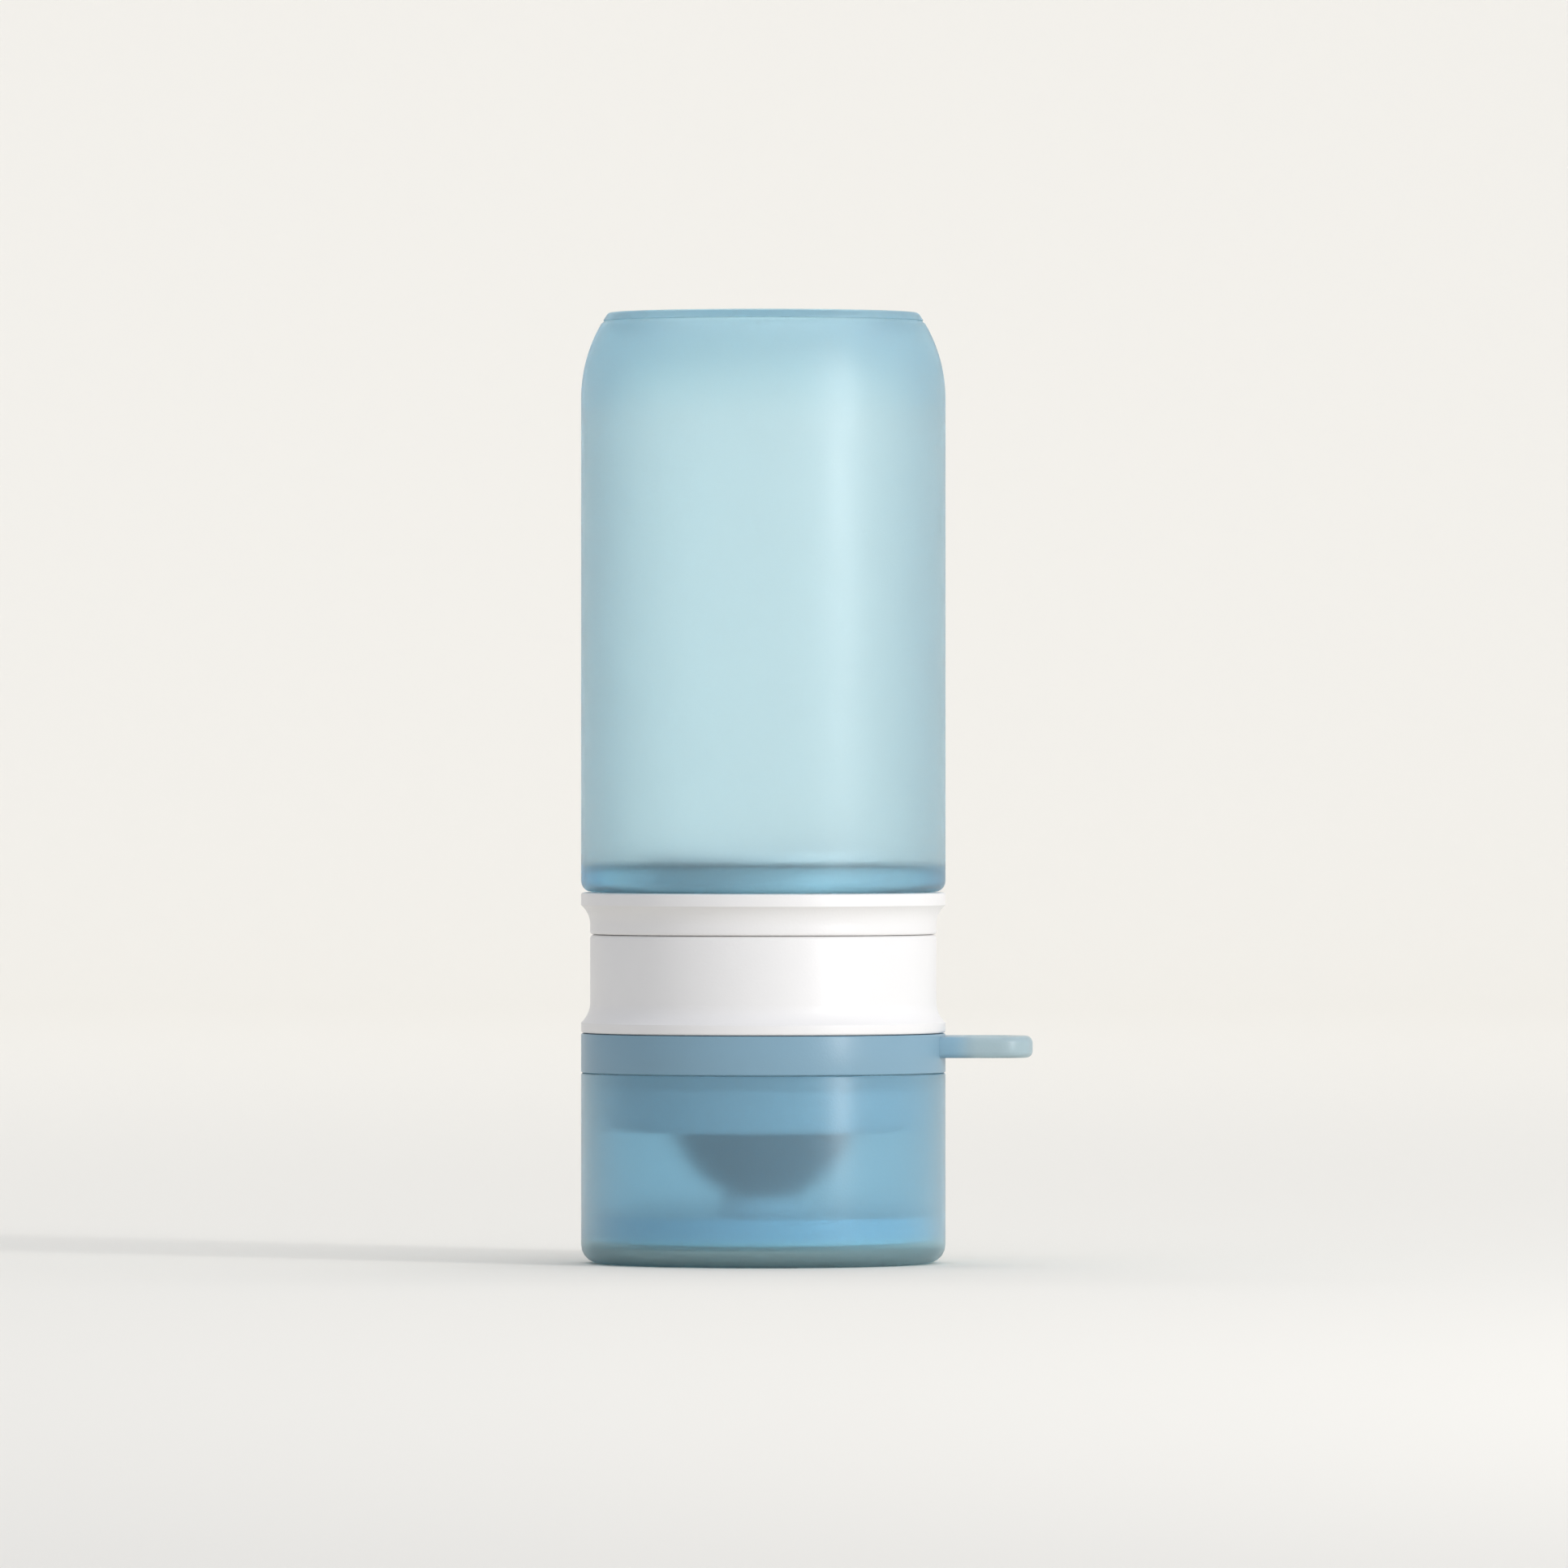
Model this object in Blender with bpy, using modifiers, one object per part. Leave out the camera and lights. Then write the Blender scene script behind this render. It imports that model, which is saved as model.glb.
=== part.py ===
# Applicator bottle, standing head down on its closed lid.
# Metres, +Z up, origin at the centre of the lid's flat base. The front is -Y, the
# hang loop points along +X and the lid's hinge is at the back, on +Y.

import math

import bmesh
import bpy
from mathutils import Matrix, Vector

# Clearances
GAP = 0.0003
PIN_CLEARANCE = 0.0001
BALL_CLEARANCE = 0.00025
DECK_CLEARANCE = 0.0011

# Heights of the pieces that stack up along the axis
LID_HEIGHT = 0.0228
RING_HEIGHT = 0.0045
COLLAR_HEIGHT = 0.0116
NECK_FLANGE_HEIGHT = 0.0048
BODY_HEIGHT = 0.0698

# Silhouette
BODY_RADIUS = 0.0220
WAIST_INSET = 0.0011
COLLAR_FOOT = 0.0011
COLLAR_FLARE_HEIGHT = 0.0025
NECK_HEAD = 0.0014
NECK_FLARE_HEIGHT = 0.0024
SHOULDER_RADIUS = 0.0180
SHOULDER_HEIGHT = 0.0098
BASE_EDGE = 0.0006
BODY_FOOT_EDGE = 0.0013

# Silicone body
BODY_WALL = 0.0018
BODY_FLANGE = 0.0029
BODY_BASE = 0.0030
BASE_DISH_RADIUS = 0.0155
BASE_DISH_DEPTH = 0.0006
CAVITY_EDGE = 0.0020
NECK_WALL = 0.0018
LIP_HEIGHT = 0.0009
LIP_OVERHANG = 0.0011
RIB_HEIGHT = 0.0032
RIB_WIDTH = 0.0011

# Neck liner
LINER_WALL = 0.0012
LINER_FLANGE_WIDTH = 0.0032
LINER_FLANGE_HEIGHT = 0.0008
LINER_BEAD = 0.0008
LINER_BEAD_HEIGHT = 0.0013

# Neck thread, right-handed
THREAD_DEPTH = 0.0009
THREAD_PITCH = 0.0030
THREAD_TURNS = 1.1
THREAD_ROOT = 0.0017
THREAD_CREST = 0.0009
THREAD_SINK = 0.0003
THREAD_RUN_OUT = 0.12
THREAD_END_SWELL = 0.2
THREAD_END_MARGIN = 0.0002
NECK_RING_WALL = 0.0016
COLLAR_WALL = 0.0016

# Screw collar
SHELF_HEIGHT = 0.0010
SPIGOT_HEIGHT = 0.0027
SPIGOT_WALL = 0.0014
SNAP_BEAD = 0.0003
SNAP_BEAD_HEIGHT = 0.0006
SNAP_BEAD_LEVEL = 0.0012

# Closure ring and its deck
DECK_LEVEL = 0.0158
DECK_THICKNESS = 0.0014
DECK_EDGE = 0.0008
DECK_BEAD = 0.0004
DECK_BEAD_LEVEL = 0.0213

# Hang loop
LOOP_REACH = 0.0105
LOOP_WIDTH = 0.0120
LOOP_THICKNESS = 0.0026
LOOP_DROP = 0.0002
LOOP_CORNER = 0.0042
LOOP_EDGE = 0.0007
LOOP_ROOT_SINK = 0.0010
SLOT_LENGTH = 0.0070
SLOT_WIDTH = 0.0045
SLOT_RIM = 0.0034
SLOT_CORNER = 0.0010

# Hinge
PIN_RADIUS = 0.00075
PIN_CHAMFER = 0.0002
KNUCKLE_WALL = 0.00085
KNUCKLE_WIDTH = 0.0064
EAR_WIDTH = 0.0035
KNUCKLE_SHOULDER = 0.00045
KNUCKLE_ROOT = 0.00405
KNUCKLE_SINK = 0.0004

# Ball and its housing
BALL_RADIUS = 0.0119
BALL_LEVEL = 0.0193
SOCKET_WALL = 0.0015
HOUSING_FLANGE = 0.0010
HOUSING_EDGE = 0.0003
DOME_WALL = 0.0012
CORE_INNER_RADIUS = 0.0098
CORE_OUTER_WALL = 0.0014
FEED_RADIUS = 0.0025

# Slit valve, its seat and its retainer
VALVE_RADIUS = 0.0051
VALVE_HEIGHT = 0.0010
VALVE_MEMBRANE = 0.0005
VALVE_RIM = 0.0017
VALVE_SEAT_WALL = 0.0012
SLIT_LENGTH = 0.0040
SLIT_WIDTH = 0.00012
SLIT_TURN = math.radians(22)
RETAINER_HEIGHT = 0.0008
RETAINER_BORE = 0.0036

# Neck gasket
GASKET_HEIGHT = 0.0010
GASKET_WIDTH = 0.0049

# Lid and its pad
LID_WALL = 0.0016
LID_FLOOR = 0.0020
LID_CORNER = 0.0022
LID_INNER_CORNER = 0.0010
PAD_HEIGHT = 0.0035
PAD_CUP_RADIUS = 0.0050
PAD_CUP_RIM = 0.0006
PAD_CUP_HEIGHT = 0.0021

# Small edges
SOFT_EDGE = 0.0003
COLLAR_TOP_EDGE = 0.0010
NECK_FLANGE_EDGE = 0.0004

# Facets
SEGMENTS = 48
INNER_SEGMENTS = 36
SMALL_SEGMENTS = 24
PIN_SEGMENTS = 16
BALL_SUBDIVISIONS = 4
ARC_STEP = math.radians(30)
FINE_ARC_STEP = math.radians(12)
CHAMFER_LIMIT = 0.0005
THREAD_STEP = 2 * math.pi / SEGMENTS
MERGE_DISTANCE = 0.00001
SMOOTH_ANGLE = math.radians(32)
BEVEL_ANGLE = math.radians(60)
CORNER_SHARE = 0.45

# Levels that follow from the stack
RING_BOTTOM = LID_HEIGHT + GAP
RING_TOP = RING_BOTTOM + RING_HEIGHT
COLLAR_BOTTOM = RING_TOP + GAP
COLLAR_TOP = COLLAR_BOTTOM + COLLAR_HEIGHT
NECK_FLANGE_BOTTOM = COLLAR_TOP + GAP
NECK_FLANGE_TOP = NECK_FLANGE_BOTTOM + NECK_FLANGE_HEIGHT
BODY_BOTTOM = NECK_FLANGE_TOP + GAP
BODY_TOP = BODY_BOTTOM + BODY_HEIGHT
SHELF_TOP = COLLAR_BOTTOM + SHELF_HEIGHT
HOUSING_FLANGE_BOTTOM = SHELF_TOP + GAP
HOUSING_FLANGE_TOP = HOUSING_FLANGE_BOTTOM + HOUSING_FLANGE
GASKET_BOTTOM = HOUSING_FLANGE_TOP + GAP
GASKET_TOP = GASKET_BOTTOM + GASKET_HEIGHT
LINER_BOTTOM = GASKET_TOP + GAP
LINER_FLANGE_TOP = LINER_BOTTOM + LINER_FLANGE_HEIGHT
LIP_BOTTOM = LINER_FLANGE_TOP + GAP
LIP_TOP = LIP_BOTTOM + LIP_HEIGHT
NECK_END = LIP_TOP + GAP
CAVITY_FLOOR = BODY_BOTTOM + BODY_FLANGE
SPIGOT_BOTTOM = COLLAR_BOTTOM - SPIGOT_HEIGHT
RING_SHOULDER = SPIGOT_BOTTOM - GAP
HINGE_LEVEL = LID_HEIGHT + GAP / 2

# Radii that follow from the fits
WAIST_RADIUS = BODY_RADIUS - WAIST_INSET
COLLAR_BORE = WAIST_RADIUS - COLLAR_WALL
MALE_CREST = COLLAR_BORE - GAP
MALE_ROOT = MALE_CREST - THREAD_DEPTH
FEMALE_CREST = MALE_ROOT + GAP
NECK_BORE = MALE_ROOT - NECK_RING_WALL
NECK_OUTER = NECK_BORE - GAP
NECK_INNER = NECK_OUTER - NECK_WALL
LIP_RADIUS = NECK_BORE + LIP_OVERHANG
LINER_OUTER = NECK_INNER - GAP
LINER_INNER = LINER_OUTER - LINER_WALL
LINER_FLANGE_RADIUS = LINER_OUTER + LINER_FLANGE_WIDTH
LID_BORE = BODY_RADIUS - LID_WALL
DECK_RADIUS = LID_BORE - DECK_CLEARANCE
SPIGOT_RADIUS = COLLAR_BORE
RING_BORE = SPIGOT_RADIUS + GAP
SPIGOT_BORE = SPIGOT_RADIUS - SPIGOT_WALL
SOCKET_RADIUS = BALL_RADIUS + BALL_CLEARANCE
HOUSING_RADIUS = SOCKET_RADIUS + SOCKET_WALL
HOUSING_FLANGE_RADIUS = FEMALE_CREST - GAP
HOUSING_PASSAGE = HOUSING_RADIUS + GAP
DOME_RADIUS = SOCKET_RADIUS + DOME_WALL
PAD_RADIUS = LID_BORE - GAP
GASKET_RADIUS = HOUSING_FLANGE_RADIUS
GASKET_BORE = GASKET_RADIUS - GASKET_WIDTH
VALVE_SEAT_RADIUS = VALVE_RADIUS + GAP
VALVE_SEAT_OUTER = VALVE_SEAT_RADIUS + VALVE_SEAT_WALL
VALVE_SEAT_LEVEL = BALL_LEVEL + DOME_RADIUS
VALVE_BOTTOM = VALVE_SEAT_LEVEL + GAP
VALVE_TOP = VALVE_BOTTOM + VALVE_HEIGHT
RETAINER_BOTTOM = VALVE_TOP + GAP
RETAINER_TOP = RETAINER_BOTTOM + RETAINER_HEIGHT
RIB_INNER = MALE_ROOT + GAP
RIB_OUTER = RIB_INNER + RIB_WIDTH
RIB_BOTTOM = BODY_BOTTOM - RIB_HEIGHT
KNUCKLE_BORE = PIN_RADIUS + PIN_CLEARANCE
KNUCKLE_RADIUS = KNUCKLE_BORE + KNUCKLE_WALL
HINGE_BACK = BODY_RADIUS + GAP + KNUCKLE_RADIUS


def collection(name):
    """A new collection in the scene."""
    made = bpy.data.collections.new(name)
    bpy.context.scene.collection.children.link(made)
    return made


for old in list(bpy.data.objects):
    bpy.data.objects.remove(old)
PARTS = collection("applicator_bottle")
TOOLS = collection("cutters")


def srgb(red, green, blue):
    """Linear colour of an 8-bit display colour."""
    linear = [((value / 255 + 0.055) / 1.055) ** 2.4 for value in (red, green, blue)]
    return (*linear, 1.0)


def give_material(obj, colour, roughness, metallic=0.0):
    """Give an object a material of its own."""
    made = bpy.data.materials.new(obj.name)
    made.use_nodes = True
    shader = made.node_tree.nodes["Principled BSDF"]
    shader.inputs["Base Color"].default_value = colour
    shader.inputs["Roughness"].default_value = roughness
    shader.inputs["Metallic"].default_value = metallic
    made.diffuse_color = colour
    obj.data.materials.clear()
    obj.data.materials.append(made)


def add_object(name, mesh, owner):
    """A new object in a collection; a tool is hidden and drawn as wire."""
    obj = bpy.data.objects.new(name, mesh)
    owner.objects.link(obj)
    if owner is TOOLS:
        obj.hide_render = True
        obj.display_type = "WIRE"
    return obj


def arc(centre, radius, start, end, step):
    """Points on an arc, both ends included, with angles from +X."""
    count = max(1, math.ceil(abs(end - start) / step - 0.001))
    angles = [start + (end - start) * i / count for i in range(count + 1)]
    return [(centre[0] + radius * math.cos(a), centre[1] + radius * math.sin(a)) for a in angles]


def rounded(corners, closed):
    """An outline whose corners, given as (x, y) or (x, y, radius), turn in arcs."""
    points = []
    for i, corner in enumerate(corners):
        here = Vector(corner[:2])
        radius = corner[2] if len(corner) > 2 else 0.0
        if radius == 0.0 or (not closed and i in (0, len(corners) - 1)):
            points.append(tuple(here))
            continue
        back = Vector(corners[i - 1][:2]) - here
        ahead = Vector(corners[(i + 1) % len(corners)][:2]) - here
        half = back.angle(ahead) / 2
        room = CORNER_SHARE * min(back.length, ahead.length)
        reach = min(radius / math.tan(half), room)
        radius = reach * math.tan(half)
        middle = (back.normalized() + ahead.normalized()).normalized()
        centre = here + middle * radius / math.sin(half)
        first = here + back.normalized() * reach - centre
        last = here + ahead.normalized() * reach - centre
        start = math.atan2(first.y, first.x)
        turn = math.atan2(first.x * last.y - first.y * last.x, first.dot(last))
        step = ARC_STEP if radius > CHAMFER_LIMIT else abs(turn)
        points += arc(centre, radius, start, start + turn, step)
    return points


def turned(name, outline, closed, owner, segments=SEGMENTS):
    """A turned piece from an outline of (radius, height) that runs down its outer side."""
    mesh = bpy.data.meshes.new(name)
    edges = [(i, i + 1) for i in range(len(outline) - 1)]
    if closed:
        edges.append((len(outline) - 1, 0))
    mesh.from_pydata([(radius, 0.0, height) for radius, height in outline], edges, [])
    obj = add_object(name, mesh, owner)
    screw = obj.modifiers.new("Turn", "SCREW")
    screw.steps = segments
    screw.render_steps = segments
    screw.use_merge_vertices = True
    screw.merge_threshold = MERGE_DISTANCE
    return obj


def plate(name, outlines, thickness, place):
    """A flat outline, with any further outlines as holes, at its thickness and place."""
    curve = bpy.data.curves.new(name, "CURVE")
    curve.dimensions = "2D"
    curve.fill_mode = "BOTH"
    curve.extrude = thickness / 2
    for outline in outlines:
        spline = curve.splines.new("POLY")
        spline.points.add(len(outline) - 1)
        for point, (x, y) in zip(spline.points, outline):
            point.co = (x, y, 0.0, 1.0)
        spline.use_cyclic_u = True
    drawn = add_object(name, curve, TOOLS)
    drawn.matrix_world = place
    return as_mesh(drawn)


def as_mesh(drawn):
    """Turn a curve object into a mesh object of the same name, with its caps welded."""
    bpy.context.view_layer.update()
    graph = bpy.context.evaluated_depsgraph_get()
    mesh = bpy.data.meshes.new_from_object(drawn.evaluated_get(graph))
    mesh.transform(drawn.matrix_world)
    name = drawn.name
    bpy.data.objects.remove(drawn)
    shape = bmesh.new()
    shape.from_mesh(mesh)
    bmesh.ops.remove_doubles(shape, verts=shape.verts, dist=MERGE_DISTANCE)
    bmesh.ops.recalc_face_normals(shape, faces=shape.faces)
    shape.to_mesh(mesh)
    shape.free()
    return add_object(name, mesh, TOOLS)


def combine(obj, tool, operation):
    """Join a tool to an object, or cut it away."""
    boolean = obj.modifiers.new(tool.name, "BOOLEAN")
    boolean.operation = operation
    boolean.solver = "EXACT"
    boolean.object = tool


def finish(obj):
    """Apply an object's modifiers and shade its round faces smooth."""
    bpy.context.view_layer.update()
    graph = bpy.context.evaluated_depsgraph_get()
    mesh = bpy.data.meshes.new_from_object(obj.evaluated_get(graph))
    obj.modifiers.clear()
    obj.data = mesh
    mesh.name = obj.name
    mesh.shade_smooth()
    mesh.set_sharp_from_angle(angle=SMOOTH_ANGLE)


def flare(waist, lip, start, end):
    """Points from a waist out to a lip along a hollow arc that leaves the waist upright."""
    spread = lip - waist
    height = abs(end - start)
    radius = (spread**2 + height**2) / (2 * spread)
    sweep = math.asin(height / radius)
    side = 1 if end > start else -1
    centre = (waist + radius, start)
    return arc(centre, radius, math.pi, math.pi - side * sweep, ARC_STEP / 2)


def thread_ridge(name, root, crest, start_angle):
    """One thread, a tapering ridge from the root radius to the crest, right-handed."""
    inward = -1 if crest < root else 1
    sunk = root - inward * THREAD_SINK
    steps = round(THREAD_TURNS * 2 * math.pi / THREAD_STEP)
    start_level = NECK_END + SOFT_EDGE + THREAD_END_MARGIN + THREAD_ROOT / 2
    shape = bmesh.new()
    rows = []
    for i in range(steps + 1):
        share = i / steps
        swell = min(1.0, THREAD_END_SWELL + min(share, 1 - share) / THREAD_RUN_OUT)
        angle = start_angle + THREAD_STEP * i
        level = start_level + THREAD_PITCH * THREAD_STEP * i / (2 * math.pi)
        tip = root + (crest - root) * swell
        section = (
            (sunk, -THREAD_ROOT / 2),
            (tip, -THREAD_CREST / 2),
            (tip, THREAD_CREST / 2),
            (sunk, THREAD_ROOT / 2),
        )
        row = []
        for radius, offset in section:
            at = (radius * math.cos(angle), radius * math.sin(angle), level + offset)
            row.append(shape.verts.new(at))
        rows.append(row)
    for here, there in zip(rows, rows[1:]):
        for i in range(len(here)):
            j = (i + 1) % len(here)
            shape.faces.new((here[i], here[j], there[j], there[i]))
    shape.faces.new(rows[0])
    shape.faces.new(rows[-1])
    bmesh.ops.recalc_face_normals(shape, faces=shape.faces)
    mesh = bpy.data.meshes.new(name)
    shape.to_mesh(mesh)
    shape.free()
    return add_object(name, mesh, TOOLS)


def knuckle_outline(side, half_reach):
    """Side view of a hinge knuckle and its web, as (back, height), going up or down."""
    wall = BODY_RADIUS - KNUCKLE_SINK
    root = math.sqrt(wall**2 - half_reach**2)
    centre = Vector((HINGE_BACK, HINGE_LEVEL))
    low = Vector((root, HINGE_LEVEL + side * KNUCKLE_SHOULDER))
    high = Vector((root, HINGE_LEVEL + side * KNUCKLE_ROOT))
    to_centre = centre - high
    lean = math.asin(KNUCKLE_RADIUS / to_centre.length)
    heading = math.atan2(to_centre.y, to_centre.x) + side * lean
    start = heading + side * math.pi / 2
    end = math.pi - side * math.asin(KNUCKLE_SHOULDER / KNUCKLE_RADIUS)
    if side > 0:
        end -= 2 * math.pi
    else:
        end = end - 2 * math.pi if end - start > 2 * math.pi else end
    barrel = arc(centre, KNUCKLE_RADIUS, start, end, ARC_STEP)
    return [tuple(high)] + barrel + [tuple(low)]


def knuckle(name, side, low_x, high_x):
    """A hinge knuckle between two places along the pin, bored for it."""
    outline = knuckle_outline(side, max(abs(low_x), abs(high_x)))
    bore = arc((HINGE_BACK, HINGE_LEVEL), KNUCKLE_BORE, 0.0, 2 * math.pi, 2 * math.pi / PIN_SEGMENTS)
    across = Matrix(((0, 0, 1), (1, 0, 0), (0, 1, 0))).to_4x4()
    place = Matrix.Translation(((low_x + high_x) / 2, 0.0, 0.0)) @ across
    return plate(name, [outline, bore[:-1]], high_x - low_x, place)


def make_squeeze_body():
    """Soft bottle with its base up: base, shoulder, wall, flange, rib, neck and lip."""
    shoulder_start = BODY_TOP - BASE_EDGE - SHOULDER_HEIGHT
    shoulder_sweep = math.asin(SHOULDER_HEIGHT / SHOULDER_RADIUS)
    shoulder_centre = (BODY_RADIUS - SHOULDER_RADIUS, shoulder_start)
    shoulder = arc(shoulder_centre, SHOULDER_RADIUS, shoulder_sweep, 0.0, ARC_STEP / 3)
    rim_radius = shoulder[0][0] - BASE_EDGE * math.tan(shoulder_sweep)
    cavity_top = BODY_TOP - BODY_BASE
    inner_radius = SHOULDER_RADIUS - BODY_WALL
    inner_height = cavity_top - CAVITY_EDGE / 2 - shoulder_start
    inner_sweep = math.asin(inner_height / inner_radius)
    inner = arc(shoulder_centre, inner_radius, 0.0, inner_sweep, ARC_STEP / 2)
    dish = BODY_TOP - BASE_DISH_DEPTH
    corners = [
        (0.0, dish),
        (BASE_DISH_RADIUS, dish),
        (BASE_DISH_RADIUS + BASE_DISH_DEPTH, BODY_TOP),
        (rim_radius, BODY_TOP, BASE_EDGE),
        *shoulder,
        (BODY_RADIUS, BODY_BOTTOM, BODY_FOOT_EDGE),
        (RIB_OUTER, BODY_BOTTOM),
        (RIB_OUTER, RIB_BOTTOM, SOFT_EDGE),
        (RIB_INNER, RIB_BOTTOM, SOFT_EDGE),
        (RIB_INNER, BODY_BOTTOM),
        (NECK_OUTER, BODY_BOTTOM),
        (NECK_OUTER, LIP_TOP),
        (LIP_RADIUS, LIP_TOP),
        (LIP_RADIUS, LIP_BOTTOM),
        (NECK_INNER, LIP_BOTTOM),
        (NECK_INNER, CAVITY_FLOOR),
        (BODY_RADIUS - BODY_WALL, CAVITY_FLOOR, CAVITY_EDGE),
        *inner,
        (inner[-1][0] - CAVITY_EDGE / 2, cavity_top),
        (0.0, cavity_top),
    ]
    outline = rounded(corners, closed=False)
    obj = turned("squeeze_body", outline, False, PARTS)
    finish(obj)
    give_material(obj, srgb(186, 218, 229), 0.45)
    return obj


def make_neck_ring():
    """Upper white ring: flared flange with a groove for the body's rib, threaded skirt."""
    flare_end = NECK_FLANGE_TOP - NECK_HEAD
    flare_start = flare_end - NECK_FLARE_HEIGHT
    curve = flare(WAIST_RADIUS, BODY_RADIUS, flare_start, flare_end)[::-1]
    groove_bottom = RIB_BOTTOM - GAP
    below = [
        (WAIST_RADIUS, NECK_FLANGE_BOTTOM, NECK_FLANGE_EDGE),
        (MALE_ROOT, NECK_FLANGE_BOTTOM),
        (MALE_ROOT, NECK_END, SOFT_EDGE),
        (NECK_BORE, NECK_END),
        (NECK_BORE, NECK_FLANGE_TOP),
        (RIB_INNER - GAP, NECK_FLANGE_TOP),
        (RIB_INNER - GAP, groove_bottom),
        (RIB_OUTER + GAP, groove_bottom),
        (RIB_OUTER + GAP, NECK_FLANGE_TOP),
        (BODY_RADIUS, NECK_FLANGE_TOP, SOFT_EDGE),
    ]
    outline = rounded(curve + below, closed=True)
    obj = turned("neck_ring", outline, True, PARTS)
    ridge = thread_ridge("male_thread", MALE_ROOT, MALE_CREST, THREAD_STEP / 2)
    combine(obj, ridge, "UNION")
    finish(obj)
    give_material(obj, srgb(238, 238, 238), 0.38)
    return obj


def make_neck_liner():
    """Rigid sleeve in the soft neck: flange under the lip, bead over the neck's inner edge."""
    bead_bottom = CAVITY_FLOOR + GAP
    bead_top = bead_bottom + LINER_BEAD_HEIGHT
    outline = rounded(
        [
            (LINER_OUTER + LINER_BEAD / 2, bead_top),
            (LINER_OUTER + LINER_BEAD, bead_bottom + LINER_BEAD_HEIGHT / 2),
            (LINER_OUTER + LINER_BEAD, bead_bottom),
            (LINER_OUTER, bead_bottom),
            (LINER_OUTER, LINER_FLANGE_TOP),
            (LINER_FLANGE_RADIUS, LINER_FLANGE_TOP),
            (LINER_FLANGE_RADIUS, LINER_BOTTOM),
            (LINER_INNER, LINER_BOTTOM, SOFT_EDGE),
            (LINER_INNER, bead_top, SOFT_EDGE),
        ],
        closed=True,
    )
    obj = turned("neck_liner", outline, True, PARTS, INNER_SEGMENTS)
    finish(obj)
    give_material(obj, srgb(232, 234, 232), 0.4)
    return obj


def make_neck_gasket():
    """Flat seal between the liner's flange and the ball housing's flange."""
    outline = rounded(
        [
            (GASKET_RADIUS, GASKET_TOP, SOFT_EDGE),
            (GASKET_RADIUS, GASKET_BOTTOM, SOFT_EDGE),
            (GASKET_BORE, GASKET_BOTTOM, SOFT_EDGE),
            (GASKET_BORE, GASKET_TOP, SOFT_EDGE),
        ],
        closed=True,
    )
    obj = turned("neck_gasket", outline, True, PARTS, INNER_SEGMENTS)
    finish(obj)
    give_material(obj, srgb(225, 228, 226), 0.6)
    return obj


def make_screw_collar():
    """Lower white ring: flared foot, female thread, shelf and snap spigot."""
    foot_top = COLLAR_BOTTOM + COLLAR_FOOT
    flare_start = foot_top + COLLAR_FLARE_HEIGHT
    curve = flare(WAIST_RADIUS, BODY_RADIUS, flare_start, foot_top)
    bead = COLLAR_BOTTOM - SNAP_BEAD_LEVEL
    corners = [
        (WAIST_RADIUS, COLLAR_TOP, COLLAR_TOP_EDGE),
        *curve,
        (BODY_RADIUS, COLLAR_BOTTOM, SOFT_EDGE),
        (SPIGOT_RADIUS, COLLAR_BOTTOM),
        (SPIGOT_RADIUS, bead + SNAP_BEAD_HEIGHT / 2),
        (SPIGOT_RADIUS + SNAP_BEAD, bead),
        (SPIGOT_RADIUS, bead - SNAP_BEAD_HEIGHT / 2),
        (SPIGOT_RADIUS, SPIGOT_BOTTOM, SOFT_EDGE),
        (SPIGOT_BORE, SPIGOT_BOTTOM),
        (SPIGOT_BORE, COLLAR_BOTTOM),
        (HOUSING_PASSAGE, COLLAR_BOTTOM),
        (HOUSING_PASSAGE, SHELF_TOP),
        (COLLAR_BORE, SHELF_TOP),
        (COLLAR_BORE, COLLAR_TOP, SOFT_EDGE),
    ]
    obj = turned("screw_collar", rounded(corners, closed=True), True, PARTS)
    start = math.pi + THREAD_STEP / 2
    ridge = thread_ridge("female_thread", COLLAR_BORE, FEMALE_CREST, start)
    combine(obj, ridge, "UNION")
    finish(obj)
    give_material(obj, srgb(242, 242, 242), 0.38)
    return obj


def make_hang_loop():
    """Flat loop with a slot for a strap, rooted in the closure ring's wall."""
    half = LOOP_WIDTH / 2
    root = math.sqrt((BODY_RADIUS - LOOP_ROOT_SINK) ** 2 - half**2)
    tip = BODY_RADIUS + LOOP_REACH
    outline = rounded(
        [(root, -half), (tip, -half, LOOP_CORNER), (tip, half, LOOP_CORNER), (root, half)],
        closed=True,
    )
    slot_out = tip - SLOT_RIM
    slot_in = slot_out - SLOT_WIDTH
    reach = SLOT_LENGTH / 2
    slot = rounded(
        [
            (slot_in, -reach, SLOT_CORNER),
            (slot_out, -reach, SLOT_CORNER),
            (slot_out, reach, SLOT_CORNER),
            (slot_in, reach, SLOT_CORNER),
        ],
        closed=True,
    )
    middle = RING_TOP - LOOP_DROP - LOOP_THICKNESS / 2
    loop = plate("hang_loop", [outline, slot], LOOP_THICKNESS, Matrix.Translation((0, 0, middle)))
    bevel = loop.modifiers.new("Edges", "BEVEL")
    bevel.width = LOOP_EDGE
    bevel.segments = 2
    bevel.limit_method = "ANGLE"
    bevel.angle_limit = BEVEL_ANGLE
    return loop


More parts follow.
